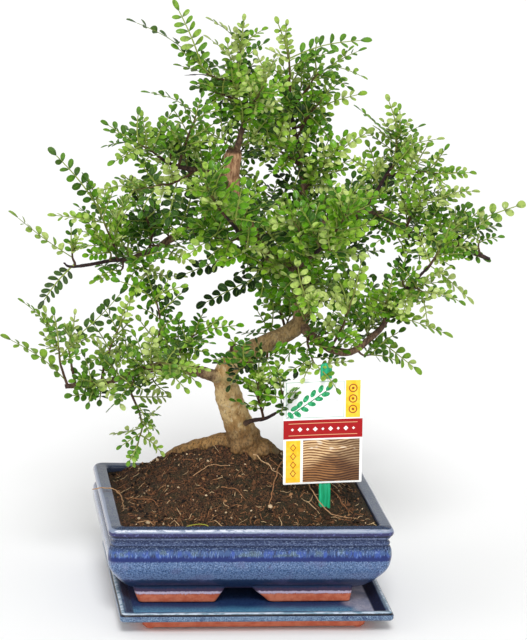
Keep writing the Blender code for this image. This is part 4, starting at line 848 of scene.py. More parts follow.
# For each shoot: how young it is, how many leaves grow along it, its stem's route, and then the
# leaves that stand out, as (place along the stem, tip, lean of its face to the front in degrees, how
# young), with, where a leaf needs them, its most pairs of leaflets, its growth, breadth and tone
SHOOTS = {
    "apex_left": (0.35, 5, [(-17, -2, 410), (-29, -8, 412), (-41, -12, 416), (-47, -14, 421)],
        (1, (-69, -16, 471), 55, 0.22, 9, 1, 0.7), (0.8, (-107, -26, 462), 8, 0.35),
        (0.7, (-69, -20, 439), 40, 0.4), (0.5, (-65, -4, 422), 10, 0.4)),
    "apex_top": (0.42, 6, [(-19, -3, 416), (-18, -2, 426), (-16, 0, 438)], (0.8, (-42, -8, 459), 15, 0.5),
        (0.9, (-15, 0, 458), 60, 0.4), (0.8, (2, 6, 450), 30, 0.5)),
    "apex_crown": (0.4, 7, [(27, 24, 396), (25, 20, 414), (22, 16, 432)], (1, (12, 12, 455), 55, 0.35),
        (0.8, (84, 4, 445), 50, 0.5), (0.6, (53, -4, 435), 40, 0.5)),
    "apex_right": (0.38, 9, [(29, 25, 384), (38, 16, 401), (45, 8, 415), (55, 4, 423)],
        (0.9, (77, 0, 437), 20, 0.45), (1, (79, -4, 416), 10, 0.4), (0.7, (68, -12, 409), 20, 0.4)),
    "apex_low_right": (0.3, 11, [(34, 25, 362), (41, 14, 382), (49, 6, 396)], (0.7, (80, -2, 404), 45, 0.4),
        (0.8, (55, 0, 377), 45, 0.2), (0.6, (58, -4, 364), 50, 0.2)),
    "apex_front": (0.55, 11, [(-10, -2, 387), (-5, -20, 401), (-1, -34, 417)],
        (0.9, (-10, -40, 439), 45, 0.5)),
    "apex_side": (0.2, 11, [(-11, -1, 393), (-26, -10, 400), (-37, -16, 404)],
        (0.8, (-51, -22, 409), 20, 0.2)),
    "upper_left_tip": (0.45, 9, [(-76, -26, 355), (-87, -32, 363), (-98, -34, 368)],
        (0.9, (-118, -38, 378), 30, 0.45), (0.4, (-68, -30, 395), 25, 0.3),
        (0.7, (-103, -30, 378), 50, 0.45)),
    "upper_left_mid": (0.35, 9, [(-62, -20, 348), (-59, -25, 363), (-55, -28, 377), (-51, -28, 389)],
        (1, (-92, -34, 408), 10, 0.35)),
    "left_centre": (0.42, 9, [(-48, -12, 343), (-63, -26, 337), (-83, -36, 335), (-97, -40, 333)],
        (0.9, (-109, -44, 343), 20, 0.45), (0.6, (-93, -48, 317), 40, 0.45)),
    "far_left_high": (0.6, 7, [(-103, 3, 268), (-108, 2, 284), (-115, 0, 299), (-120, 0, 310)],
        (1, (-158, -4, 357), 50, 0.4), (0.7, (-132, -6, 336), 10, 0.4), (0.7, (-157, -8, 306), 30, 0.4),
        (0.3, (-98, -14, 315), 40, 0.4)),
    "far_left_tip": (0.35, 1, [(-136, -3, 265), (-138, -4, 272), (-138, -4, 279)],
        (0.5, (-187, -10, 308), 15, 0.4), (0.9, (-133, -2, 290), 35, 0.6),
        (0.1, (-163, -14, 236), 65, 0.02, 6, 1.1, 0.72, 0.12), (0.8, (-128, -16, 284), 20, 0.6)),
    "mid_left_up": (0.2, 10, [(-78, 9, 274), (-78, 2, 291), (-84, -6, 307), (-89, -8, 318)]),
    "mid_left_hang": (0.4, 8, [(-86, 7, 271), (-82, 0, 262), (-78, -6, 251)],
        (0.2, (-125, -8, 285), 20, 0.25)),
    "inner_left": (0.05, 2, [(-35, 9, 299), (-22, 0, 288), (-10, -8, 279)],
        (1, (-58, -14, 260), 45, 0.02, 6, 1, 1, 0.08), (0.6, (-31, -18, 269), 40, 0.3)),
    "low_left_tip_a": (0.5, 2, [(-141, -30, 178), (-146, -32, 192), (-149, -36, 208), (-152, -38, 218)],
        (1, (-179, -44, 250), 15, 0.35), (0.1, (-192, -42, 222), 20, 0.15),
        (0.8, (-154, -42, 240), 60, 0.6), (0.5, (-130, -44, 209), 40, 0.1)),
    "low_left_tip_b": (0.7, 3, [(-135, -28, 179), (-138, -24, 192), (-140, -20, 203), (-139, -20, 213)],
        (0.9, (-96, -14, 252), 20, 0.1), (0.7, (-123, -24, 216), 40, 0.5)),
    "low_left_mid": (0.45, 5, [(-115, -25, 179), (-112, -22, 194), (-107, -20, 210), (-100, -20, 227)],
        (0.9, (-92, -22, 250), 55, 0.45), (0.5, (-129, -34, 195), 40, 0.4), (0, (-134, -42, 179), 65, 0.45),
        (0.05, (-127, -46, 167), 60, 0.35), (0.1, (-100, -48, 166), 60, 0.5)),
    "low_left_up": (0.2, 6, [(-76, -14, 188), (-72, -14, 205), (-70, -14, 222), (-73, -14, 238),
        (-78, -14, 250)], (0.8, (-107, -18, 260), 45, 0.05), (0.9, (-54, -20, 255), 50, 0.4)),
    "low_left_inner": (0.3, 7, [(-61, -8, 188), (-54, -14, 202), (-47, -18, 213), (-38, -20, 219)],
        (1, (-9, -22, 225), 45, 0.2), (0.5, (-36, -30, 205), 50, 0.1)),
    "low_left_front": (0.5, 8, [(-85, -17, 185), (-81, -34, 195), (-72, -48, 202), (-62, -56, 202)],
        (0.8, (-44, -62, 190), 40, 0.45)),
    "hanging_spray": (0.5, 6, [(-92, -19, 182), (-92, -25, 172), (-86, -29, 158), (-83, -30, 144),
        (-86, -30, 130)], (1, (-92, -32, 117), 45, 0.4), (0.8, (-100, -34, 130), 30, 0.4),
        (0.7, (-72, -36, 162), 15, 0.4), (0.6, (-71, -32, 143), 10, 0.45)),
    "centre_hang": (0.05, 4, [(10, 6, 279), (8, -4, 270), (7, -10, 261)],
        (1, (-42, -14, 237), 45, 0.02, 6, 1, 1, 0.08), (0.7, (-11, -20, 250), 45, 0.05, 5, 1, 1, 0.2)),
    "front_left_tip": (0.42, 10, [(-31, -67, 320), (-41, -76, 334), (-48, -80, 346)]),
    "front_left_side": (0.42, 9, [(-13, -36, 297), (-29, -50, 298), (-42, -58, 306)]),
    "front_right_tip": (0.42, 11, [(47, -73, 305), (53, -80, 319), (58, -82, 332)]),
    "front_right_up": (0.42, 10, [(37, -38, 282), (30, -52, 301), (20, -60, 319)]),
    "front_mid": (0.5, 4, [(33, -18, 270), (33, -40, 264), (36, -50, 254)],
        (1, (25, -62, 285), 70, 0.69, 3, 1.3, 1.1, 0.6), (0.8, (52, -60, 251), 50, 0.5)),
    "front_low_right": (0.5, 4, [(63, -16, 205), (67, -38, 229), (70, -50, 250), (72, -54, 262)],
        (1, (75, -60, 289), 70, 0.66, 3, 1.3, 1.3, 0.6), (0.7, (57, -60, 274), 60, 0.6, 3, 1.2, 1.2)),
    "riser_right": (0.5, 10, [(41, 22, 320), (49, 14, 335), (57, 10, 347)], (0.9, (88, 2, 375), 40, 0.4),
        (0.8, (78, 6, 350), 35, 0.15)),
    "riser_left": (0.4, 12, [(38, 24, 340), (21, 12, 353), (7, 4, 361)]),
    "right_top_tip": (0.6, 7, [(110, 7, 350), (109, 6, 361), (109, 6, 372)], (1, (99, 2, 400), 60, 0.4),
        (0.7, (73, -6, 394), 10, 0.5), (0.3, (143, 0, 370), 25, 0.45), (0.1, (132, -10, 366), 40, 0.3)),
    "right_top_side": (0.5, 9, [(103, 8, 338), (115, 0, 341), (128, -6, 344), (139, -8, 343)],
        (0.9, (139, -16, 362), 65, 0.8), (1, (168, -10, 345), 40, 0.45), (0.8, (146, -20, 336), 60, 0.75)),
    "right_mid_up": (0.5, 9, [(117, -7, 297), (121, -12, 312), (129, -16, 323), (139, -18, 325)],
        (1, (168, -22, 334), 30, 0.55), (0.5, (110, -26, 335), 50, 0.3)),
    "right_tip_up": (0.75, 5, [(149, -12, 288), (152, -14, 296), (157, -15, 301)],
        (0.9, (208, -18, 324), 62, 0.6, 4, 1, 1.3), (0.6, (166, -10, 319), 40, 0.6)),
    "right_tip": (0.35, 0, [(176, -15, 282), (174, -16, 288), (175, -17, 294)],
        (0.9, (163, -20, 300), 45, 0.4), (0.8, (190, -18, 297), 30, 0.3), (0.4, (160, -22, 288), 50, 0.3)),
    "low_right_tip": (0.6, 5, [(133, -28, 274), (138, -30, 284), (144, -30, 293)],
        (0.1, (168, -34, 249), 20, 0.4), (1, (148, -32, 314), 40, 0.7)),
    "low_right_a": (0.45, 5, [(121, -27, 260), (124, -34, 259), (129, -40, 257)],
        (0.9, (159, -44, 251), 35, 0.35), (0.5, (104, -44, 282), 50, 0.45)),
    "low_right_b": (0.5, 7, [(102, -25, 228), (99, -36, 243), (100, -44, 255)],
        (0.4, (151, -46, 225), 20, 0.5), (0.7, (79, -48, 256), 50, 0.3)),
    "low_right_c": (0.25, 6, [(91, -24, 214), (91, -10, 222), (94, 0, 233)],
        (0.3, (134, -22, 188), 40, 0.3), (0.5, (73, -14, 237), 45, 0.2)),
    "label_side": (0.45, 6, [(46, -5, 215), (45, -16, 208), (48, -22, 199), (51, -26, 193)],
        (1, (77, -32, 200), 40, 0.8), (0.8, (26, -34, 190), 35, 0.3), (0.4, (59, -30, 219), 40, 0.4)),
    "low_twig_up": (0.3, 8, [(15, -4, 144), (11, -8, 157), (8, -12, 170), (8, -14, 181)],
        (1, (2, -16, 190), 45, 0.5)),
    "low_twig_tip": (0.3, 4, [(32, -14, 156), (27, -24, 168), (23, -30, 177)],
        (0.3, (34, -42, 173), 50, 0.25)),
    "bend_leaves": (0.05, 7, [(15, 4, 201), (14, -10, 194), (1, -20, 195), (-10, -26, 196)],
        (0.7, (-37, -36, 201), 30, 0.2), (0.4, (39, -24, 208), 20, 0.3)),
    "back_left_tip": (0.3, 9, [(-35, 89, 327), (-44, 98, 332), (-53, 102, 336)]),
    "back_right_tip": (0.3, 10, [(97, 97, 298), (110, 105, 306), (122, 110, 312)]),
    "back_right_low": (0.2, 10, [(71, 60, 283), (84, 70, 269), (97, 76, 261)]),
    "back_top_tip": (0.35, 10, [(22, 75, 368), (13, 82, 377), (5, 84, 388)]),
    "low_back_tip": (0.2, 9, [(67, 84, 214), (81, 92, 218), (93, 96, 221)]),
    "back_left_mid": (0.3, 11, [(-24, 47, 319), (-14, 56, 331), (-4, 62, 342), (4, 64, 352)]),
    "back_centre": (0.3, 11, [(46, 19, 289), (38, 34, 296), (28, 48, 304), (18, 58, 310)]),
    "low_back_up": (0.3, 10, [(37, 49, 203), (33, 56, 219), (34, 60, 235), (40, 62, 250)]),
}
# Leaflet: half width at each station along it, as shares of its width and length
STATIONS = ((0.12, 0.38), (0.36, 0.86), (0.62, 1.0), (0.84, 0.82), (0.96, 0.44))


def leaflet_pattern():
    """Shares along and across of one leaflet's points, which ones are beneath, and its faces."""
    rows = []
    for along, width in STATIONS:
        rows += [(along, -width, 1, 0), (along, 0, 0, 0), (along, width, 1, 0), (along, 0, 0, 1)]
    rows += [(0, 0, 0.5, 0), (1, 0, 0.5, 0)]
    last = 4 * len(STATIONS) - 4
    base, tip = last + 4, last + 5
    faces = []
    for a in range(0, last, 4):
        b = a + 4
        faces += [(a, a + 1, b + 1, b), (a + 1, a + 2, b + 2, b + 1), (a, b, b + 3, a + 3),
                  (a + 3, b + 3, b + 2, a + 2)]
    faces += [(base, 1, 0), (base, 2, 1), (base, 0, 3), (base, 3, 2)]
    faces += [(last, last + 1, tip), (last + 1, last + 2, tip), (last, tip, last + 3),
              (last + 3, tip, last + 2)]
    return np.array(rows, float), faces


PATTERN, LEAFLET_FACES = leaflet_pattern()


def unit(v):
    return v / np.linalg.norm(v)


def beside(heading):
    """A direction square to a heading."""
    return unit(np.cross(heading, UP if abs(heading[2]) < 0.9 else FRONT))


def turned(v, axis, angle):
    """A vector turned round an axis."""
    return (v * math.cos(angle) + np.cross(axis, v) * math.sin(angle)
            + axis * axis.dot(v) * (1 - math.cos(angle)))


def near(chance, middle, spread):
    """A random share round a middle one, kept between 0 and 1."""
    return min(1.0, max(0.0, middle + chance.normal(0, spread)))


def add_leaflets(shape, rows):
    """Add leaflets given as (base, along, side, face, length, width, fold, curl, tone, youth)."""
    for base, along, side, face, length, width, fold, curl, tone, youth in rows:
        u, v, out, beneath = PATTERN.T
        lift = fold * np.abs(v) * width / 2 - curl * u * u * length
        lift -= beneath * (0.12 + 0.2 * np.sin(np.pi * u))
        points = base + np.outer(u * length, along) + np.outer(v * width / 2, side) + np.outer(lift, face)
        shape.add(points, LEAFLET_FACES, tone=tone, youth=youth, along=u, across=out, beneath=beneath,
                  stalk=0.0)


def add_stalk(shape, rows, sides, youth, woody, side=(0, 0, 1), flatness=1.0):
    points, faces = tube(rows, sides, side, flatness)
    shape.add(points, faces, tone=woody, youth=youth, along=0.5, across=0.5, beneath=0.0, stalk=1.0)


def add_leaf(shape, base, tip, lean, youth, chance, most_pairs=6, growth=1.0, breadth=1.0, tone=None):
    """One compound leaf: its stalk, its pairs of leaflets and the leaflet at its end."""
    base, tip = np.array(base, float), np.array(tip, float)
    tip[1] = min(max(tip[1], FARTHEST_FRONT), FARTHEST_BACK)
    axis = tip - base
    length = np.linalg.norm(axis)
    axis /= length
    face = math.cos(lean) * UP + math.sin(lean) * FRONT
    face -= axis * face.dot(axis)
    face = unit(face if np.linalg.norm(face) > 0.2 else FRONT - axis * FRONT.dot(axis))
    side = np.cross(axis, face)
    bow = chance.uniform(-0.02, 0.09) * length
    sway = chance.uniform(-0.05, 0.05) * length
    t = np.linspace(0, 1, STALK_ROWS)[:, None]
    reach = length * 0.86
    spine = base + axis * reach * t + (face * bow + side * sway) * np.sin(np.pi * t)
    stalk_width = np.linspace(0.7, 0.4, STALK_ROWS)[:, None]
    add_stalk(shape, np.hstack([spine, stalk_width]), 6, youth, 0.2 + 0.25 * chance.random(), side, 0.5)
    room = length / (7.0 if youth < 0.5 else 6.0) - 0.4 + chance.uniform(-0.5, 0.5)
    pairs = max(3, min(most_pairs, round(room)))
    spacing = reach * 0.83 / pairs
    big = min(8.9, 4.5 + 0.079 * length) * chance.uniform(0.92, 1.08) * (1.0 if youth < 0.7 else 0.85)
    big *= growth
    slim = (0.67 - 0.16 * min(1.0, youth * 1.3) + chance.uniform(-0.05, 0.05)) * breadth
    drawn_tone = chance.random()
    tone = drawn_tone if tone is None else tone
    open_angle = math.radians(chance.uniform(62, 80) - 12 * youth)
    rows = []
    for pair in range(pairs):
        share = 0.17 + 0.83 * pair / pairs + 0.02
        along = share * (STALK_ROWS - 1)
        i = min(STALK_ROWS - 2, int(along))
        at = spine[i] + (spine[i + 1] - spine[i]) * (along - i)
        ahead = unit(spine[i + 1] - spine[i])
        size = big * (0.78 + 0.3 * math.sin(math.pi * min(1.0, share * 1.05)) ** 0.8) * (1 - 0.12 * share)
        for hand in (-1, 1):
            angle = open_angle + math.radians(chance.uniform(-9, 9)) - 0.3 * share
            out = unit(ahead * math.cos(angle) + side * hand * math.sin(angle)
                       + face * chance.normal(0.1, 0.16))
            leaf_face = face - out * face.dot(out)
            roll = chance.normal(0, 0.38) - 0.25 * hand
            leaf_face = unit(leaf_face)
            leaf_face = unit(leaf_face * math.cos(roll) + np.cross(out, leaf_face) * math.sin(roll))
            rows.append((at + side * hand * 0.2, out, np.cross(out, leaf_face), leaf_face,
                         size * chance.uniform(0.9, 1.08),
                         min(size * slim, 0.95 * spacing) * chance.uniform(0.92, 1.1),
                         chance.uniform(0.1, 0.4), chance.uniform(0.02, 0.16),
                         near(chance, tone, 0.15), youth))
    end = unit(spine[-1] - spine[-2])
    end_face = unit(face - end * face.dot(end))
    rows.append((spine[-1], end, np.cross(end, end_face), end_face, big * 1.02, big * slim,
                 0.25, 0.08, tone, youth))
    add_leaflets(shape, rows)


def along_stem(stem, share):
    """A place on a stem and the stem's heading there."""
    place = min(share, 0.98) * (len(stem) - 1)
    i = min(int(place), len(stem) - 2)
    step = stem[i + 1, :3] - stem[i, :3]
    return stem[i, :3] + step * (place - i), unit(step)


leafy = Finish("leaves", Specular_IOR_Level=0.2, Coat_Weight=0.1, Coat_Roughness=0.06)
x, y, z = leafy.axes()
tone, youth, u, v = (leafy.read(name) for name in ("tone", "youth", "along", "across"))
stalk = leafy.read("stalk")
blotch = leafy.grain(2.2, detail=3.0)
ribs = abs((u * 9.0 + v * 1.6).left_over(1.0) - 0.5).rise(0.4, 0.5)
far_out = (abs(x - 5.0) + abs(z - 290.0) + abs(y) * 0.6).rise(130.0, 215.0)
# The outermost leaves are duller; each leaflet is painted darkest at its stalk, as shade, and palest
# along its edge, as a highlight
green = leafy.layers(
    leafy.node('ValToRGB', {"stops": [(0.0, (14, 36, 6)), (0.25, (44, 88, 0)), (0.5, (90, 150, 0)),
                                      (0.75, (138, 179, 42)), (1.0, (192, 211, 118))]},
               {"Fac": youth * 0.8 + tone * 0.72 - 0.09}),
    ((80, 98, 48), far_out * 0.35),
    ((110, 160, 50), ribs * 0.18),
    ((140, 184, 70), v.rise(0.1, 0.0) * 0.35),
    ((12, 34, 8), u.rise(0.5, 0.0) * 0.65),
    ((18, 48, 18), blotch.rise(0.48, 0.68) * 0.45),
    ((190, 212, 140), (v * 0.7 + u * 0.3).rise(0.76, 0.96) * 0.45),
    # Painted highlight: some leaves that are not the oldest are painted pale, as if catching the light
    ((208, 222, 150), tone.rise(0.82, 1.0) * youth.rise(0.08, 0.4) * 0.2),
    ((84, 122, 64), leafy.read("beneath") * 0.6))
woody = leafy.mix(tone.fade((132, 148, 66), (78, 54, 40), 0.4, 0.85), (52, 38, 34),
                  leafy.grain(1.2, detail=3.0, shift=4.0).rise(0.5, 0.7) * tone)
leafy.coat(leafy.mix(green, woody, stalk), 0.34 + 0.14 * blotch + 0.2 * stalk,
           (1 - stalk) * (blotch * 0.12 - ribs * 0.05))

for number, (name, (young, count, route, *standing_out)) in enumerate(SHOOTS.items()):
    chance = np.random.default_rng(100 + number)
    stem = flowing(tapered(1.15, 0.55, route), 2.5)
    wander = swayed(stem, 7.0) * 0.7
    wander[0] = 0
    stem[:, :3] += wander
    shape = Shape()
    ripeness = np.linspace(0.95, 0.9 - 0.6 * young, len(stem))
    add_stalk(shape, stem, 8, young, np.r_[np.repeat(ripeness, 8), ripeness[0], ripeness[-1]])
    for share, tip, lean, leaf_youth, *build in standing_out:
        add_leaf(shape, along_stem(stem, share)[0], tip, math.radians(lean), leaf_youth, chance, *build)
    turn = chance.uniform(0, math.tau)
    bare_part = 0.5 if name.startswith("low_left_tip") else 0.12
    most_pairs, growth = (5, 1.2) if name.startswith("front") else (6, 1.0)
    fullness = 0.85 if name.startswith("apex") else 1.6 if name.startswith("low") else 1.36
    grown_leaves = round(count * fullness)
    for i in range(grown_leaves):
        share = bare_part + (1 - bare_part) * (i + 0.5) / grown_leaves
        base, heading = along_stem(stem, share)
        turn += GOLDEN_TURN
        aim = unit(heading * 0.5 + turned(beside(heading), heading, turn) * 0.85 + UP * 0.18)
        if i == grown_leaves - 1:
            aim = unit(heading + UP * 0.2)
        length = chance.uniform(20, 36) * (1 - 0.2 * share)
        add_leaf(shape, base, base + aim * length, math.radians(chance.uniform(5, 60)),
                 near(chance, young, 0.14), chance, most_pairs, growth)
    shoot = shape.set_down("leaves_" + name, leafy, crease=50)
    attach(shoot, "root")
    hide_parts("shoot_" + name)

# Spurs: short side shoots with a few leaves each, all along the limbs, that fill the crown. For each
# limb: how many, and the stretch of the limb that they grow on, as shares of its length
SPURS = {"apex": (10, 0.04, 0.9), "left_top": (5, 0.3, 0.95), "left_mid": (14, 0.08, 0.78),
         "riser": (18, 0.1, 1.0), "right_mid": (17, 0.1, 0.85), "right_top": (3, 0.2, 0.9),
         "right_low": (7, 0.12, 0.9), "front_left": (6, 0.2, 0.95), "front_right": (7, 0.2, 0.95),
         "back_left": (5, 0.2, 0.95), "back_right": (5, 0.2, 0.95), "back_top": (5, 0.2, 0.95),
         "left_low": (10, 0.24, 0.86), "low_back": (4, 0.3, 0.95), "trunk": (16, 0.52, 0.86)}
limb_axes = dict(zip(["trunk", *ROOTS, *LIMBS], axes))
for number, (name, (count, low, high)) in enumerate(SPURS.items()):
    chance = np.random.default_rng(400 + number)
    rows = limb_axes[name]
    lifted = UP * (-0.1 if name == "right_mid" else 0.35)
    drawn_forward = FRONT * 0.6 if name in ("trunk", "left_low") else 0
    growth = 1.15 if name.startswith("front") or name == "left_low" else 1.0
    reach_share = 0.8 if name == "left_low" else 1
    shape = Shape()
    turn = chance.uniform(0, math.tau)
    for i in range(count):
        place = (low + (high - low) * (i + chance.uniform(0.2, 0.8)) / count) * (len(rows) - 1)
        row, after = rows[int(place)], rows[min(int(place) + 1, len(rows) - 1)]
        heading = unit(after[:3] - row[:3] if int(place) + 1 < len(rows) else row[:3] - rows[-2, :3])
        side = beside(heading)
        turn += GOLDEN_TURN
        out = unit(turned(side, heading, turn) + lifted + drawn_forward)
        reach = row[3] + chance.uniform(4, 15)
        bend = np.array([row[:3], row[:3] + out * reach * 0.55,
                         row[:3] + unit(out + heading * 0.3) * reach + UP * 1.5])
        stem = flowing(tapered(0.95, 0.55, bend), 2.5)
        youth = near(chance, 0.36, 0.2)
        add_stalk(shape, stem, 7, youth, 0.9 - 0.5 * youth)
        leaf_turn = chance.uniform(0, math.tau)
        for share, spread in ((0.55, 0.9), (0.75, 0.9), (0.95, 0.9), (1.0, 0.2)):
            base, ahead = along_stem(stem, share)
            leaf_turn += GOLDEN_TURN
            aim = unit(ahead * 0.55 + turned(beside(ahead), ahead, leaf_turn) * spread + UP * 0.15)
            aim[2] = max(aim[2], -0.2)
            add_leaf(shape, base, base + aim * chance.uniform(19, 34) * reach_share,
                     math.radians(chance.uniform(10, 65)), near(chance, youth, 0.12), chance, 6, growth)
    spur = shape.set_down("spurs_" + name, leafy, crease=50)
    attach(spur, "root")

# Opening buds: tufts of small pale leaflets on short stems. For each: the stem's two ends, heading,
# leaflet length and how widely it is open
BUDS = [((-139, -20, 213), (-142, -46, 221), (0, -0.25, 1), 14.0, 0.55),
        ((-97, -40, 333), (-105, -50, 322), (0.1, -0.2, 1), 13.0, 0.6),
        ((-97, -40, 333), (-110, -46, 312), (-0.2, -0.3, 1), 11.0, 0.4),
        ((-89, -8, 318), (-91, -30, 326), (0.1, -0.3, 1), 10.0, 0.6),
        ((-47, -18, 213), (-50, -36, 214), (0, -0.5, 1), 7.0, 1.0),
        ((8, -14, 181), (7, -34, 184), (0, -0.7, 0.8), 8.0, 1.0),
        ((-61, 8, 284), (-63, -34, 297), (0, -0.8, 0.5), 7.5, 1.1),
        ((36, -50, 254), (38, -62, 256), (0, -0.8, 0.7), 9.0, 1.0),
        ((-138, -4, 279), (-138, -12, 283), (0, -0.5, 1), 7.0, 0.9)]
TUFT = 26
buds = Shape()
chance = np.random.default_rng(7)
for start, place, heading, size, openness in BUDS:
    start, place, heading = np.array(start, float), np.array(place, float), unit(np.array(heading, float))
    bend = (start + place) / 2 + UP * 2.0
    add_stalk(buds, flowing(tapered(0.9, 0.6, [start, bend, place]), 2.5), 7, 0.8, 0.5)
    side = unit(np.cross(heading, FRONT + UP * 0.3))
    rows = []
    for i in range(TUFT):
        spin = i * GOLDEN_TURN
        spread = (0.15 + 1.05 * (i / TUFT) ** 0.7) * openness
        out = unit(heading * math.cos(spread) + turned(side, heading, spin) * math.sin(spread))
        face = unit(heading - out * heading.dot(out) + turned(side, heading, spin + 1.5) * 0.1)
        length = size * chance.uniform(0.6, 1.0) * (0.6 + 0.4 * i / TUFT)
        rows.append((place + heading * (2.0 * (1 - i / TUFT)), out, np.cross(out, face), face, length,
                     length * 0.27, 0.3, -0.05, chance.random(), 0.8))
    add_leaflets(buds, rows)
opening_buds = buds.set_down("opening_buds", leafy, crease=50)
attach(opening_buds, "root")


# Plant label: a printed card of stiff white plastic, 62 by 85 mm, clipped to the front of a stick
# that is pushed into the soil. The print is a plain one: a green sprig, a red band, raked sand and
# yellow strips.
CARD_AT = (58.1, -30.0, 142.2)
CARD_HALF = 31.0
CARD_BOW = 0.5
LABEL_TILT = math.radians(-2.5)
card_rows = eased([(30.7, 42.2, 0.8, -0.3, 0), (31.0, 42.5, 1.0, -0.2, 0.1), (31.0, 42.5, 1.0, 0.2, 0.1),
                   (30.7, 42.2, 0.8, 0.3, 0)], longest=5)
card_rows = to_middle(card_rows[0])[::-1] + card_rows + to_middle(card_rows[-1])
points, faces = skin([outline(*row) for row in card_rows])
flat_x, flat_y, thick = points.T
bowed = -thick - CARD_BOW * (flat_x / CARD_HALF) ** 2
cos, sin = math.cos(LABEL_TILT), math.sin(LABEL_TILT)
card = Shape()
card.add(np.column_stack([flat_x * cos + flat_y * sin, bowed, flat_y * cos - flat_x * sin]) + CARD_AT, faces)

ink = Finish("printed_card", Coat_Weight=0.05, Coat_Roughness=0.1, Specular_IOR_Level=0.25)
u, depth, w = ink.axes(ink.moved(ink.spot, CARD_AT, turn=(0, LABEL_TILT, 0)))
BROWN = (150, 78, 22)


def panel(low_u, high_u, low_w, high_w, soft=0.12):
    """Mask of a printed rectangle on the card."""
    away = (abs(u - (low_u + high_u) / 2) - (high_u - low_u) / 2).most(
        abs(w - (low_w + high_w) / 2) - (high_w - low_w) / 2)
    return away.rise(soft, -soft)


def blot(at_u, at_w, half_u, half_w, lean=0.0):
    """Mask of a printed oval, or of a leaf when it is slim."""
    c, s = math.cos(lean), math.sin(lean)
    a = ((u - at_u) * c + (w - at_w) * s) / half_u
    b = ((w - at_w) * c - (u - at_u) * s) / half_w
    return (a * a + b * b).rise(1.08, 0.92)


def rosette(at_w):
    """A ring with a dot in it, on the right yellow strip."""
    at_u = 23.25
    ring = blot(at_u, at_w, 3.4, 3.4) - blot(at_u, at_w, 2.5, 2.5)
    return BROWN, ring.most(blot(at_u, at_w, 1.1, 1.1))


def bead(step):
    """A pale lozenge on the red band, every second one small."""
    outer, inner = (2.0, 1.85) if step % 2 else (1.3, 1.1)
    return (250, 244, 240), (abs(u - (6.0 * step - 24.0)) + abs(w - 2.2)).rise(outer, inner)


def diamond(at_w):
    """The outline of a diamond, on the left yellow strip."""
    away = abs(u + 23.25) * 1.3 + abs(w - at_w)
    return BROWN, away.rise(3.3, 3.1) - away.rise(2.3, 2.1)


SPRIG = [(-25.5, 14.0, -0.9), (-22.5, 19.5, 0.5), (-20.0, 14.8, -0.7), (-18.5, 22.5, 0.9),
         (-14.5, 18.5, -0.4), (-13.5, 27.0, 1.0), (-9.0, 22.6, -0.2), (-8.0, 31.0, 1.1), (-3.4, 26.5, 0.0),
         (-2.0, 34.5, 1.2), (1.8, 30.0, 0.2), (4.6, 35.5, 0.7)]
stem_line = abs(w - ((u + 29.0) * 0.68 + 11.5)).rise(0.55, 0.35) * panel(-28.0, 5.0, 10.8, 36.5)
leaf_green = ink.grain(2.0, detail=3.0).fade((20, 132, 78), (62, 176, 116), 0.4, 0.62)
frame_line = panel(-29.2, 16.4, 11.4, 40.6) - panel(-28.7, 15.9, 11.9, 40.1)
yellow = ink.grain(5.0).fade((252, 190, 32), (255, 204, 62), 0.4, 0.6)
# Raked sand: wavy furrows, darker towards the card's foot
ripple = ink.grain(7.0, (2.0, 1, 1), detail=3.0, shift=6.0)
furrow = (w * 3.1 + (u * 0.16).sine() * 4.2 + ripple * 9.0).sine()
dune = (w - (u * 0.12 + 0.6).sine() * 5.0 + ripple * 5.0).rise(-27.0, -17.0)
raked = ink.layers(ink.mix((74, 42, 26), (186, 132, 78), furrow.rise(-0.9, 0.9) * 0.7 + dune * 0.3),
                   ((244, 214, 166), dune * furrow.rise(-0.6, 0.9) * 0.7),
                   ((58, 34, 24), (ripple + u * 0.012).rise(0.52, 0.74) * 0.6),
                   ((255, 248, 232), ripple.rise(0.4, 0.28) * dune * 0.8))
back = ink.grain(1.2, detail=4.0).fade((226, 224, 216), (214, 211, 202), 0.4, 0.6)
printed = ink.layers(
    ink.grain(3.0).fade((250, 250, 248), (245, 246, 246), 0.3, 0.7),
    ((24, 104, 62), stem_line),
    *((leaf_green, blot(at_u, at_w, 3.3, 1.9, lean)) for at_u, at_w, lean in SPRIG),
    ((60, 140, 112), frame_line * 0.7),
    (yellow, panel(17.5, 29.0, 10.8, 41.0)),
    *(rosette(at_w) for at_w in (34.5, 26.0, 17.5)),
    ((164, 4, 12), panel(-31.2, 31.2, -5.4, 9.8)),
    *(bead(step) for step in range(9)),
    *(((240, 200, 150), panel(-27.0, 27.0, at_w - 0.22, at_w + 0.22, 0.1) * 0.8) for at_w in (-2.6, 7.0)),
    (raked, panel(-15.5, 29.0, -41.0, -6.6)),
    (yellow, panel(-29.0, -17.5, -41.0, -6.6)),
    *(diamond(at_w) for at_w in (-12.5, -19.5, -26.5, -33.5)),
    (back, (depth + CARD_BOW * (u / CARD_HALF) * (u / CARD_HALF)).rise(-0.1, 0.0)))
ink.coat(printed, 0.28 + 0.12 * ink.grain(4.0, detail=3.0), ink.grain(0.8) * 0.015)
label_print = card.set_down("label_print", ink, crease=30)
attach(label_print, "root")
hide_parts("label_card")

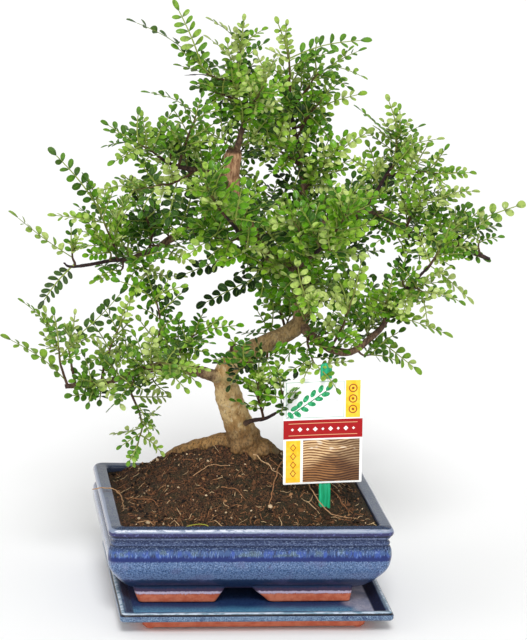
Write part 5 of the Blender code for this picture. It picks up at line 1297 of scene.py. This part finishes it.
# The stick: moulded green plastic with three ribs down its front and a pointed foot
STICK_AT = (60.3, CARD_AT[1] + 1.5)
STICK_HALF = 4.5
across = np.linspace(-1, 1, 25)
ribs = 0.42 * np.clip(np.cos(across * math.pi * 3) * -1.4, -1, 1) * (np.abs(across) < 0.97) * 0.8
stick = Shape()
rings = []
for level, share in ((50.0, 0.12), (57.0, 0.6), (64.0, 1.0), *((z, 1.0) for z in np.linspace(70, 192, 26)),
                     (194.3, 0.95), (196.0, 0.78), (196.8, 0.5), (197.0, 0.2)):
    ring = np.vstack([np.column_stack([across * STICK_HALF * share, -0.55 + ribs * share]),
                      np.column_stack([-across * STICK_HALF * share, 0.9 - 0.25 * np.abs(across) ** 8])])
    at = (STICK_AT[0] - (level - CARD_AT[2]) * math.tan(-LABEL_TILT), STICK_AT[1])
    rings.append(np.column_stack([ring + at, np.full(50, level)]))
stick.add(*skin(rings))
stick_finish = Finish("moulded_green", Coat_Weight=0.2, Coat_Roughness=0.2)
x, y, z = stick_finish.axes()
flow_marks = stick_finish.grain(1.4, (1, 1, 12), detail=3.0)
soiled = (z + stick_finish.grain(3.0, detail=3.0) * 6.0).rise(82.0, 78.0)
stick_finish.coat(stick_finish.mix(flow_marks.fade((6, 150, 100), (34, 190, 138), 0.38, 0.64), (60, 44, 30),
                                   soiled * 0.8),
                  0.34 + 0.2 * flow_marks + 0.3 * soiled, flow_marks * 0.08)
label_stick = stick.set_down("label_stick", stick_finish, crease=50)
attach(label_stick, "root")
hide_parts("label_stake")


# Studio: a plain pale floor that runs out of sight, soft white light all round, a soft lamp high in
# front, a weak one low in front and a weak one at the left. The camera stands where the photograph
# was taken from and is tilted as it was.
FLOOR = 6
floor_finish = Finish("studio_floor", Roughness=0.9)
floor_finish.coat(floor_finish.mix((250, 250, 250), (247, 247, 247), floor_finish.grain(300.0)))
ground = bpy.data.meshes.new("studio_floor")
ground.from_pydata([(-FLOOR, -FLOOR, 0), (FLOOR, -FLOOR, 0), (FLOOR, FLOOR, 0), (-FLOOR, FLOOR, 0)], [],
                   [(0, 1, 2, 3)])
ground.materials.append(floor_finish.material)
studio_floor = bpy.data.objects.new("studio_floor", ground)
bpy.context.scene.collection.objects.link(studio_floor)

world = bpy.data.worlds.new("studio_air")
world.use_nodes = True
air = world.node_tree.nodes["Background"].inputs
air["Color"].default_value = (1.0, 1.0, 1.0, 1.0)
air["Strength"].default_value = 0.6
bpy.context.scene.world = world
bpy.context.scene.view_settings.view_transform = 'Standard'


def lamp(name, toward, spread, strength):
    """A far-off soft lamp that shines along a heading, as even over the floor as over the tree."""
    light = bpy.data.lights.new(name, 'SUN')
    light.angle = math.radians(spread)
    light.energy = strength
    holder = bpy.data.objects.new(name, light)
    holder.rotation_euler = Vector(toward).to_track_quat('-Z', 'Y').to_euler()
    bpy.context.scene.collection.objects.link(holder)


lamp("key_lamp", (0.1, 0.9, -1.0), 18.0, 1.8)
lamp("front_lamp", (0.1, 1.0, -0.12), 50.0, 0.9)
lamp("side_lamp", (1.0, 0.3, -0.4), 40.0, 0.5)

CAMERA_AT = Vector((-0.2864, -1.917, 0.7551)) + POT_STANDS_AT
yaw, pitch, roll = (math.radians(a) for a in (8.84, 15.34, 2.97))
ahead = Vector((math.sin(yaw) * math.cos(pitch), math.cos(yaw) * math.cos(pitch), -math.sin(pitch)))
level = Vector((math.cos(yaw), -math.sin(yaw), 0))
over = level.cross(ahead)
right_hand = level * math.cos(roll) + over * math.sin(roll)
upward = over * math.cos(roll) - level * math.sin(roll)
view = bpy.data.cameras.new("camera")
view.sensor_fit = 'VERTICAL'
view.sensor_height = 24.0
view.lens = 97.3
view.clip_end = 30.0
camera = bpy.data.objects.new("camera", view)
turn = Matrix((right_hand, upward, -ahead)).transposed().to_4x4()
camera.matrix_world = Matrix.Translation(CAMERA_AT) @ turn
bpy.context.scene.collection.objects.link(camera)
bpy.context.scene.camera = camera
